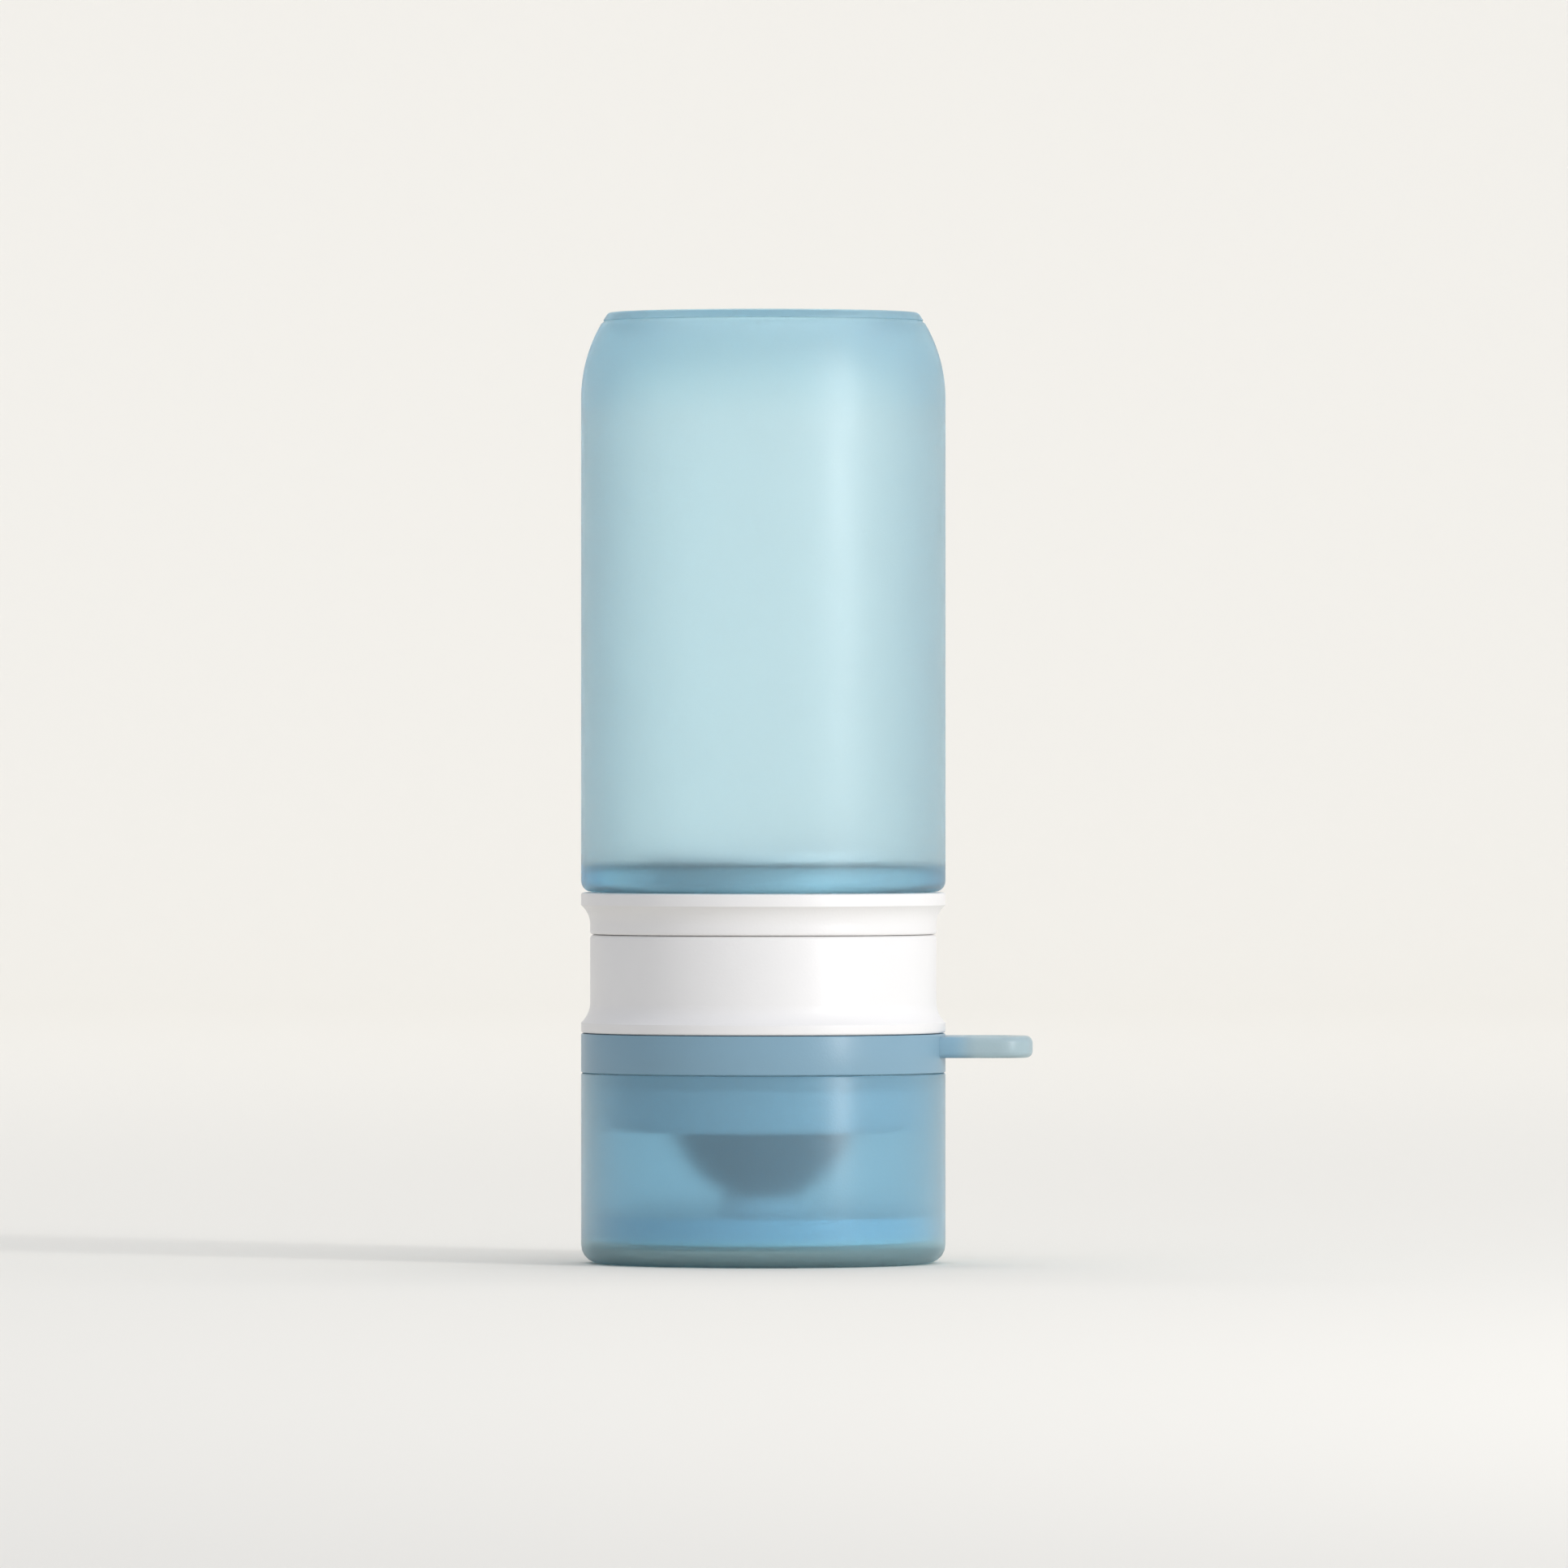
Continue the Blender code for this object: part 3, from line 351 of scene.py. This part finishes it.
def makeSqueezeBody(s):
    top, lipLow = topOf("squeeze_body"), lowOf("squeeze_body")
    foot = topOf("neck_ring") + gap
    shoulderLow = top - s["rimEdge"] - s["shoulderHeight"]
    centre = (outerRadius - s["shoulderRadius"], shoulderLow)
    lineTop = top - s["lineDrop"]
    lineLow = lineTop - s["lineHeight"]
    sweep = math.degrees(math.asin((lineLow - shoulderLow) / s["shoulderRadius"]))
    shoulder = arcPoints(centre, s["shoulderRadius"], sweep, 0, s["shoulderSteps"])

    def outlineAt(level):
        return centre[0] + math.sqrt(s["shoulderRadius"] ** 2 - (level - shoulderLow) ** 2)

    rim = outlineAt(top)
    fineLine = [
        (outlineAt(lineTop), lineTop, s["lineEdge"]),
        (outlineAt(lineTop) - s["lineDepth"], lineTop - s["lineSlope"]),
        (outlineAt(lineLow) - s["lineDepth"], lineLow + s["lineSlope"]),
    ]
    inner = s["shoulderRadius"] - s["wall"]
    ceiling = top - s["base"]
    innerLow = shoulderLow - s["shoulderThick"]
    innerSweep = math.degrees(math.asin((ceiling - s["ceilingEdge"] / 2 - innerLow) / inner))
    hollow = arcPoints((centre[0], innerLow), inner, 0, innerSweep, s["hollowSteps"])
    dish = top - s["dishDepth"]
    floor = foot + s["flange"]
    neckBore = s["neck"] - s["neckWall"]
    corners = [
        (0, dish), (s["dishRadius"], dish, s["dishEdge"]),
        (s["dishRadius"] + s["dishDepth"], top, s["dishEdge"]),
        (rim, top, s["rimEdge"] / 2), *fineLine, *shoulder, (outerRadius, foot - creep, s["footEdge"]),
        (s["ribOuter"], foot - creep), (s["ribOuter"], foot - s["ribDrop"], s["ribEdge"]),
        (s["ribInner"], foot - s["ribDrop"], s["ribEdge"]), (s["ribInner"], foot),
        (s["neck"], foot), (s["neck"], lipLow + s["lipHeight"]),
        (s["lip"], lipLow + s["lipHeight"], s["lipEdge"]), (s["lip"], lipLow, s["lipEdge"]),
        (neckBore, lipLow), (neckBore, floor), (outerRadius - s["wall"], floor, s["cavityEdge"]),
        *hollow, (hollow[-1][0] - s["ceilingEdge"] / 2, ceiling), (0, ceiling),
    ]
    piece = spinProfile("squeezeBody", corners, False)
    return finishPiece(piece, silicone, "bottle", "squeeze_body")


# upper white ring
neckShape = {
    "waist": 20.9, "head": 1.4, "flare": 2.4, "flange": 4.8, "skirt": 18.1, "bore": 16.5, "crest": 19.0,
    "grooveInner": 18.1, "grooveOuter": 19.8, "grooveDrop": 3.2, "edge": 0.3, "footEdge": 0.3,
    "threadRise": 1.2, "threadStart": math.radians(3.75),
}


def makeNeckRing(s):
    low, top = lowOf("neck_ring"), topOf("neck_ring")
    foot = top - s["flange"]
    curve = flarePoints(s["waist"], outerRadius, top - s["head"] - s["flare"], top - s["head"])[::-1]
    groove = top - s["grooveDrop"]
    corners = curve + [
        (s["waist"], foot - creep, s["footEdge"]), (s["skirt"], foot - creep), (s["skirt"], low, s["edge"]),
        (s["bore"], low, s["edge"]), (s["bore"], top), (s["grooveInner"], top), (s["grooveInner"], groove),
        (s["grooveOuter"], groove), (s["grooveOuter"], top + creep), (outerRadius, top + creep, s["edge"]),
    ]
    piece = spinProfile("neckRing", corners, True)
    ridge = makeRidge("maleThread", s["skirt"], s["crest"], low + s["threadRise"], s["threadStart"])
    applyBoolean(piece, ridge, "UNION")
    return finishPiece(piece, white, "bottle", "neck_ring")


# lower white ring
collarShape = {
    "height": 14.33,  # of its rim alone, as the thread's end stands higher in the frame
    "waist": 20.9, "foot": 1.1, "flare": 2.5, "topEdge": 0.5, "edge": 0.3, "spigot": 19.3,
    "spigotDrop": 2.7, "spigotBore": 17.9, "bead": 0.3, "beadLevel": 1.5, "bore": 19.3, "crest": 18.4,
    "shelf": 1.0, "passage": 13.95, "threadRise": 10.1, "threadStart": math.radians(183.75),
}


def makeScrewCollar(s):
    low = lowOf("screw_collar")
    top = low + s["height"]
    foot = low + s["spigotDrop"]
    lip = foot + s["foot"]
    curve = arcMirror(flarePoints(s["waist"], outerRadius, 0, s["flare"]), lip + s["flare"])
    bead = low + s["beadLevel"]
    corners = [
        (s["waist"], top + creep, s["topEdge"]), *curve, (outerRadius, foot - creep, s["edge"]),
        (s["spigot"], foot - creep),
        (s["spigot"], bead + s["bead"]), (s["spigot"] + s["bead"], bead), (s["spigot"], bead - s["bead"]),
        (s["spigot"], low, s["edge"]), (s["spigotBore"], low, s["edge"]), (s["spigotBore"], foot),
        (s["passage"], foot), (s["passage"], foot + s["shelf"]), (s["bore"], foot + s["shelf"]),
        (s["bore"], top + creep, s["edge"]),
    ]
    piece = spinProfile("screwCollar", corners, True)
    ridge = makeRidge("femaleThread", s["bore"], s["crest"], low + s["threadRise"], s["threadStart"])
    applyBoolean(piece, ridge, "UNION")
    return finishPiece(piece, white, "closure", "screw_collar")


# hinge at the back, shared by the ring's ears and the lid's knuckle
hingeShape = {
    "back": 24.0, "level": 22.95, "barrel": 1.7, "bore": 0.85, "shoulder": 0.45, "root": 4.05, "sink": 0.4,
    "knuckle": 6.4, "ear": 3.5, "arcSteps": 28, "overrun": 2.0,
    "pin": 0.75, "pinEdge": 0.2, "pinSteps": 48, "pinEdgeSteps": 3,
}


def makeKnuckle(name, side, lowX, highX):  # side 1 hangs from above the pin, -1 stands below it
    h = hingeShape
    reach = max(abs(lowX), abs(highX))
    root = math.sqrt((outerRadius - h["sink"]) ** 2 - reach**2)
    away = Vector((h["back"] - root, -side * h["root"]))
    lean = math.asin(h["barrel"] / away.length)
    start = math.atan2(away.y, away.x) + side * (lean + math.pi / 2)
    end = math.pi - side * math.asin(h["shoulder"] / h["barrel"]) - (2 * math.pi if side > 0 else 0)
    outline = [(root, h["level"] + side * h["root"])]
    outline += arcPoints((h["back"], h["level"]), h["barrel"], math.degrees(start), math.degrees(end),
                         h["arcSteps"])
    outline += [(root, h["level"] + side * h["shoulder"])]
    bm = bmesh.new()
    face = bm.faces.new([bm.verts.new((lowX * mm, y * mm, z * mm)) for y, z in outline])
    made = bmesh.ops.extrude_face_region(bm, geom=[face])["geom"]
    moved = [item for item in made if isinstance(item, bmesh.types.BMVert)]
    bmesh.ops.translate(bm, verts=moved, vec=((highX - lowX) * mm, 0, 0))
    bmesh.ops.recalc_face_normals(bm, faces=bm.faces[:])
    piece = newObject(name, bm)
    bore = makePin("bore", h["bore"], highX - lowX + h["overrun"], 0, (lowX + highX) / 2)
    applyBoolean(piece, bore, "DIFFERENCE")
    return piece


def makePin(name, radius, length, edge, middle=0.0):  # on the hinge's line, also the bores' cutter
    h = hingeShape
    bm = bmesh.new()
    bmesh.ops.create_cone(bm, cap_ends=True, segments=h["pinSteps"], radius1=radius * mm,
                          radius2=radius * mm, depth=length * mm)
    if edge:
        rims = [e for e in bm.edges if abs(e.verts[0].co.z - e.verts[1].co.z) < weld]
        bmesh.ops.bevel(bm, geom=rims, offset=edge * mm, offset_type="OFFSET", segments=h["pinEdgeSteps"],
                        profile=0.5, affect="EDGES", material=-1)
    bmesh.ops.rotate(bm, verts=bm.verts[:], cent=(0, 0, 0), matrix=Matrix.Rotation(math.pi / 2, 3, "Y"))
    bmesh.ops.translate(bm, verts=bm.verts[:], vec=(middle * mm, h["back"] * mm, h["level"] * mm))
    return newObject(name, bm)


# hang loop with its slot
loopShape = {
    "width": 12.0, "low": 24.8, "thick": 2.6, "corner": 4.2, "edge": 0.8, "edgeSteps": 5, "rootSink": 1.0,
    "rootCorner": 0.25,  # inside the ring's wall, so that plate and slot have as many points
    "slotIn": 24.6, "slotOut": 29.1, "slotHalf": 3.5, "slotCorner": 1.0,
}


def drawLevel(bm, x0, x1, half, corner, rootCorner, height):  # one flat outline, at its height
    corners = [(x0, -half, rootCorner), (x1, -half, corner), (x1, half, corner), (x0, half, rootCorner)]
    edges = drawOutline(bm, corners, True, across=True)
    verts = list({vert for edge in edges for vert in edge.verts})
    bmesh.ops.translate(bm, verts=verts, vec=(0, 0, height * mm))
    return edges


def makeHangLoop(s):  # outlines one above the other, bridged, so both rims are round
    half = s["width"] / 2
    root = math.sqrt((outerRadius - s["rootSink"]) ** 2 - half**2)
    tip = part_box("closure_ring")[1].x / mm
    levels = []
    for i in range(s["edgeSteps"] + 1):
        turn = math.pi / 2 * i / s["edgeSteps"]
        levels.append((s["edge"] * (1 - math.sin(turn)), s["edge"] * (1 - math.cos(turn))))
    levels += [(inset, s["thick"] - rise) for inset, rise in levels[::-1]]
    bm = bmesh.new()
    plates, slots = [], []
    for inset, rise in levels:
        plates.append(drawLevel(bm, root, tip - inset, half - inset, s["corner"] - inset, s["rootCorner"],
                                s["low"] + rise))
        slots.append(drawLevel(bm, s["slotIn"] - inset, s["slotOut"] + inset, s["slotHalf"] + inset,
                               s["slotCorner"] + inset, s["slotCorner"] + inset, s["low"] + rise))
    for below, above in [*zip(plates, plates[1:]), *zip(slots, slots[1:])]:
        bmesh.ops.bridge_loops(bm, edges=below + above)
    for level in (0, -1):
        bmesh.ops.triangle_fill(bm, use_beauty=True, edges=plates[level] + slots[level])
    bmesh.ops.recalc_face_normals(bm, faces=bm.faces[:])
    return newObject("hangLoop", bm)


# narrow blue ring with the deck under the lid
ringShape = {
    "height": 4.5, "edge": 0.2, "deck": 19.3, "deckEdge": 0.8, "deckThick": 1.4, "deckBore": 13.95,
    "deckInner": 17.9, "bead": 0.4, "beadLevel": 21.3, "shoulder": 24.9, "bore": 19.6, "groove": 0.3,
    "grooveLevel": 26.7, "grooveHalf": 0.45,
}


def makeClosureRing(s):
    low, top = lowOf("closure_ring"), topOf("closure_ring")
    foot = top - s["height"]
    deckTop = low + s["deckThick"]
    corners = [
        (outerRadius, top + creep, s["edge"]), (outerRadius, foot - creep, s["edge"]),
        (s["deck"], foot - creep), (s["deck"], s["beadLevel"] + s["bead"]),
        (s["deck"] + s["bead"], s["beadLevel"]), (s["deck"], s["beadLevel"] - s["bead"]),
        (s["deck"], low, s["deckEdge"]),
        (s["deckBore"], low, s["edge"]), (s["deckBore"], deckTop), (s["deckInner"], deckTop, s["edge"]),
        (s["deckInner"], s["shoulder"]), (s["bore"], s["shoulder"]),
        (s["bore"], s["grooveLevel"] - s["grooveHalf"]), (s["bore"] + s["groove"], s["grooveLevel"]),
        (s["bore"], s["grooveLevel"] + s["grooveHalf"]), (s["bore"], top + creep),
    ]
    piece = spinProfile("closureRing", corners, True)
    applyBoolean(piece, makeHangLoop(loopShape), "UNION")
    near = hingeShape["knuckle"] / 2 + gap
    far = near + hingeShape["ear"]
    applyBoolean(piece, makeKnuckle("leftEar", 1, -far, -near), "UNION")
    applyBoolean(piece, makeKnuckle("rightEar", 1, near, far), "UNION")
    return finishPiece(piece, ringFrosted, "closure", "closure_ring")


# deep lid, its pad and the pin
lidShape = {"rim": 22.8, "wall": 1.6, "floor": 2.0, "corner": 2.2, "innerCorner": 1.0, "edge": 0.2}


def makeFlipLid(s):
    bore = outerRadius - s["wall"]
    rim = s["rim"] + creep
    corners = [(0, s["floor"]), (bore, s["floor"], s["innerCorner"]), (bore, rim, s["edge"]),
               (outerRadius, rim, s["edge"]), (outerRadius, 0, s["corner"]), (0, 0)]
    piece = spinProfile("flipLid", corners, False)
    half = hingeShape["knuckle"] / 2
    applyBoolean(piece, makeKnuckle("middleKnuckle", -1, -half, half), "UNION")
    return finishPiece(piece, frosted, "lid", "flip_lid")


padShape = {
    "height": 3.5, "edge": 0.3, "footEdge": 1.0, "cup": 5.0, "cupRim": 0.6, "cupHeight": 2.1,
    "cupEdge": 0.15, "dish": 12.2, "dishSteps": 6,
}


def makeSealPad(s):
    low = lowOf("lid_seal_pad")
    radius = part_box("lid_seal_pad")[1].x / mm
    top = low + s["height"]
    ballLow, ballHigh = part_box("roller_ball")
    ballLevel = (ballLow.z + ballHigh.z) / 2 / mm
    sweep = math.degrees(math.asin((s["cup"] - s["cupRim"]) / s["dish"]))
    dish = arcPoints((0, ballLevel), s["dish"], -90, sweep - 90, s["dishSteps"])
    dish[0] = (0, dish[0][1])  # exactly on the axis
    corners = dish + [
        (s["cup"], top + s["cupHeight"], s["cupEdge"]), (s["cup"], top, s["edge"]),
        (radius, top, s["edge"]), (radius, low, s["footEdge"]), (0, low),
    ]
    piece = spinProfile("lidSealPad", corners, False, innerSteps)
    return finishPiece(piece, padSeal, "lid", "lid_seal_pad")


def makeHingePin():
    h = hingeShape
    piece = makePin("hingePin", h["pin"], h["knuckle"] + 2 * (gap + h["ear"]), h["pinEdge"])
    return finishPiece(piece, steel, "closure", "hinge_pin")


# ball and the socket that holds it
housingShape = {
    "clearance": 0.25, "wall": 1.5, "dome": 1.2, "flange": 18.1, "flangeThick": 1.0, "flangeTop": 30.2,
    "coreInner": 9.8, "coreOuterWall": 1.4, "feed": 2.5, "seat": 5.4, "seatWall": 1.2, "edge": 0.3,
    "socketSteps": 24,
}


def makeBallHousing(s):
    low, top = lowOf("ball_housing"), topOf("ball_housing")
    ballLow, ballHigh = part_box("roller_ball")
    ballRadius = (ballHigh.z - ballLow.z) / 2 / mm
    level = (ballLow.z + ballHigh.z) / 2 / mm
    socket = ballRadius + s["clearance"]
    outer = socket + s["wall"]
    dome = socket + s["dome"]
    core = outer - s["coreOuterWall"]
    seatOuter = s["seat"] + s["seatWall"]
    flangeLow = s["flangeTop"] - s["flangeThick"]

    def domeLevel(radius):
        return level + math.sqrt((dome + gap / 2) ** 2 - radius**2)

    lipAngle = -math.degrees(math.asin((level - low) / socket))
    feedAngle = math.degrees(math.acos(s["feed"] / socket))
    corners = [
        (seatOuter, top, s["edge"]), (seatOuter, s["flangeTop"]), (s["coreInner"], s["flangeTop"]),
        (s["coreInner"], domeLevel(s["coreInner"])), (core, domeLevel(core)), (core, s["flangeTop"]),
        (s["flange"], s["flangeTop"], s["edge"]), (s["flange"], flangeLow, s["edge"]),
        (outer, flangeLow), (outer, low, s["edge"]),
        *arcPoints((0, level), socket, lipAngle, feedAngle, s["socketSteps"]),
        (s["feed"], level + dome), (s["seat"], level + dome), (s["seat"], top),
    ]
    piece = spinProfile("ballHousing", corners, True, innerSteps)
    return finishPiece(piece, natural, "closure", "ball_housing")


ballShape = {"subdivisions": 6}


def makeRollerBall(s):
    low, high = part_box("roller_ball")
    bm = bmesh.new()
    bmesh.ops.create_icosphere(bm, subdivisions=s["subdivisions"], radius=(high.z - low.z) / 2)
    bmesh.ops.translate(bm, verts=bm.verts[:], vec=(0, 0, (low.z + high.z) / 2))
    piece = newObject("rollerBall", bm)
    return finishPiece(piece, ballFinish, "ball", "roller_ball")


# slit valve and its retainer
valveShape = {
    "radius": 5.1, "membrane": 0.5, "rim": 1.7, "edge": 0.3, "slit": 4.0, "slitWidth": 0.12,
    "slitTurn": math.radians(22), "cutHeight": 4.0,
}
retainerShape = {"bore": 3.6, "boreEdge": 0.25, "outerEdge": 0.1}


def makeSlitValve(s):
    low, top = lowOf("slit_valve"), topOf("slit_valve")
    thin = s["radius"] - s["rim"]
    corners = [(0, low + s["membrane"]), (thin - s["membrane"], low + s["membrane"]), (thin, top),
               (s["radius"], top, s["edge"]), (s["radius"], low, s["edge"]), (0, low)]
    piece = spinProfile("slitValve", corners, False, innerSteps)
    for quarter in (0, math.pi / 2):
        bm = bmesh.new()
        bmesh.ops.create_cube(bm, size=1)
        cutSize = (s["slit"] * mm, s["slitWidth"] * mm, s["cutHeight"] * mm)
        bmesh.ops.scale(bm, verts=bm.verts[:], vec=cutSize)
        bmesh.ops.rotate(bm, verts=bm.verts[:], cent=(0, 0, 0),
                         matrix=Matrix.Rotation(s["slitTurn"] + quarter, 3, "Z"))
        bmesh.ops.translate(bm, verts=bm.verts[:], vec=(0, 0, low * mm))
        applyBoolean(piece, newObject("slit", bm), "DIFFERENCE")
    return finishPiece(piece, seal, "closure", "slit_valve")


def makeValveRetainer(s):
    low, top = lowOf("valve_retainer"), topOf("valve_retainer")
    radius = valveShape["radius"]
    corners = [(radius, top, s["outerEdge"]), (radius, low, s["outerEdge"]),
               (s["bore"], low, s["boreEdge"]), (s["bore"], top, s["boreEdge"])]
    piece = spinProfile("valveRetainer", corners, True, innerSteps)
    return finishPiece(piece, natural, "closure", "valve_retainer")


# sleeve and seal inside the neck
linerShape = {
    "outer": 14.1, "wall": 1.2, "flange": 17.3, "flangeThick": 0.8, "flangeEdge": 0.15, "bead": 0.8,
    "beadHeight": 1.3, "edge": 0.3,
}
gasketShape = {"bore": 13.2, "edge": 0.3}


def makeNeckLiner(s):
    low, top = lowOf("neck_liner"), topOf("neck_liner")
    inner = s["outer"] - s["wall"]
    beadLow = top - s["beadHeight"]
    corners = [
        (s["outer"] + s["bead"] / 2, top), (s["outer"] + s["bead"], beadLow + s["beadHeight"] / 2),
        (s["outer"] + s["bead"], beadLow), (s["outer"], beadLow), (s["outer"], low + s["flangeThick"]),
        (s["flange"], low + s["flangeThick"], s["flangeEdge"]), (s["flange"], low, s["flangeEdge"]),
        (inner, low, s["edge"]), (inner, top, s["edge"]),
    ]
    piece = spinProfile("neckLiner", corners, True, innerSteps)
    return finishPiece(piece, natural, "bottle", "neck_liner")


def makeNeckGasket(s):
    low, top = lowOf("neck_gasket"), topOf("neck_gasket")
    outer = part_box("neck_gasket")[1].x / mm
    corners = [(outer, top, s["edge"]), (outer, low, s["edge"]),
               (s["bore"], low, s["edge"]), (s["bore"], top, s["edge"])]
    piece = spinProfile("neckGasket", corners, True, innerSteps)
    return finishPiece(piece, seal, "gasket", "neck_gasket")


makeSqueezeBody(bodyShape)
makeNeckRing(neckShape)
makeScrewCollar(collarShape)
makeClosureRing(ringShape)
makeFlipLid(lidShape)
makeSealPad(padShape)
makeHingePin()
makeBallHousing(housingShape)
makeRollerBall(ballShape)
makeSlitValve(valveShape)
makeValveRetainer(retainerShape)
makeNeckLiner(linerShape)
makeNeckGasket(gasketShape)

# floor and backdrop in one pale sweep
sweepShape = {
    "front": -2.8, "back": 2.6, "curve": 0.7, "curveSteps": 32, "top": 3.0, "half": 3.2, "drop": 0.00004,
    "colour": (0.82, 0.79, 0.725), "rough": 0.9,
}


def makeSweep(s):
    bm = bmesh.new()
    places = ((s["front"], 0), (s["back"], 0), (s["back"], s["top"]))
    verts = [bm.verts.new((-s["half"], y, z)) for y, z in places]
    for pair in zip(verts, verts[1:]):
        bm.edges.new(pair)
    bmesh.ops.bevel(bm, geom=[verts[1]], offset=s["curve"], offset_type="OFFSET", material=-1,
                    segments=s["curveSteps"], profile=0.5, affect="VERTICES")
    made = bmesh.ops.extrude_edge_only(bm, edges=bm.edges[:])["geom"]
    moved = [item for item in made if isinstance(item, bmesh.types.BMVert)]
    bmesh.ops.translate(bm, verts=moved, vec=(2 * s["half"], 0, 0))
    bmesh.ops.translate(bm, verts=bm.verts[:], vec=(0, 0, -s["drop"]))
    bmesh.ops.recalc_face_normals(bm, faces=bm.faces[:])
    sweep = newObject("sweep", bm)
    sweep.data.shade_smooth()
    material, _, shader = newFinish("pale paper")
    shader.inputs["Base Color"].default_value = (*s["colour"], 1)
    shader.inputs["Roughness"].default_value = s["rough"]
    shader.inputs["Specular IOR Level"].default_value = 0.0
    sweep.data.materials.append(material)


makeSweep(sweepShape)


# light
def addSoftbox(name, azimuth, height, distance, width, tall, power, target=(0, 0, 0.06)):
    lamp = bpy.data.lights.new(name, "AREA")
    lamp.shape = "RECTANGLE"
    lamp.size = width
    lamp.size_y = tall
    lamp.energy = power
    holder = bpy.data.objects.new(name, lamp)
    bpy.context.scene.collection.objects.link(holder)
    angle = math.radians(azimuth)
    holder.location = (distance * math.sin(angle), -distance * math.cos(angle), height)
    aim = Vector(target) - holder.location
    holder.rotation_euler = aim.to_track_quat("-Z", "Y").to_euler()


addSoftbox("key", azimuth=50, height=0.38, distance=1.0, width=0.5, tall=0.8, power=2.1)
addSoftbox("strip", azimuth=50, height=0.27, distance=0.9, width=0.1, tall=0.54, power=3.3)
addSoftbox("backdrop", azimuth=180, height=2.1, distance=1.2, width=2.4, tall=1.0, power=18,
           target=(0, 2.2, 0.15))


# soft light from all round, weaker on the left
roomShape = {"colour": (0.95, 0.985, 1.07), "left": 0.62, "rest": 0.84, "turnsAt": 0.1}


def makeRoom(s):
    world = bpy.data.worlds.new("studio")
    bpy.context.scene.world = world
    world.use_nodes = True
    nodes, links = world.node_tree.nodes, world.node_tree.links
    apart = nodes.new("ShaderNodeSeparateXYZ")
    links.new(nodes.new("ShaderNodeTexCoord").outputs["Generated"], apart.inputs["Vector"])
    reach = nodes.new("ShaderNodeMapRange")
    reach.inputs["From Min"].default_value = -1.0
    reach.inputs["From Max"].default_value = s["turnsAt"]
    reach.inputs["To Min"].default_value = s["left"]
    reach.inputs["To Max"].default_value = s["rest"]
    links.new(apart.outputs["X"], reach.inputs["Value"])
    nodes["Background"].inputs["Color"].default_value = (*s["colour"], 1)
    links.new(reach.outputs["Result"], nodes["Background"].inputs["Strength"])


makeRoom(roomShape)
bpy.context.scene.view_settings.view_transform = "Standard"
print("light set")

# camera, level with the middle of the bottle
viewShape = {
    "distance": 2.0, "height": 0.063, "aimX": 0.0025, "aimZ": 0.0578, "width": 0.1893, "sensor": 36,
    "clipEnd": 20,
}
camera = bpy.data.cameras.new("camera")
camera.sensor_width = viewShape["sensor"]
camera.lens = camera.sensor_width * viewShape["distance"] / viewShape["width"]
camera.clip_end = viewShape["clipEnd"]
cameraHolder = bpy.data.objects.new("camera", camera)
bpy.context.scene.collection.objects.link(cameraHolder)
cameraHolder.location = (viewShape["aimX"], -viewShape["distance"], viewShape["height"])
aim = Vector((viewShape["aimX"], 0, viewShape["aimZ"])) - cameraHolder.location
cameraHolder.rotation_euler = aim.to_track_quat("-Z", "Y").to_euler()
bpy.context.scene.camera = cameraHolder
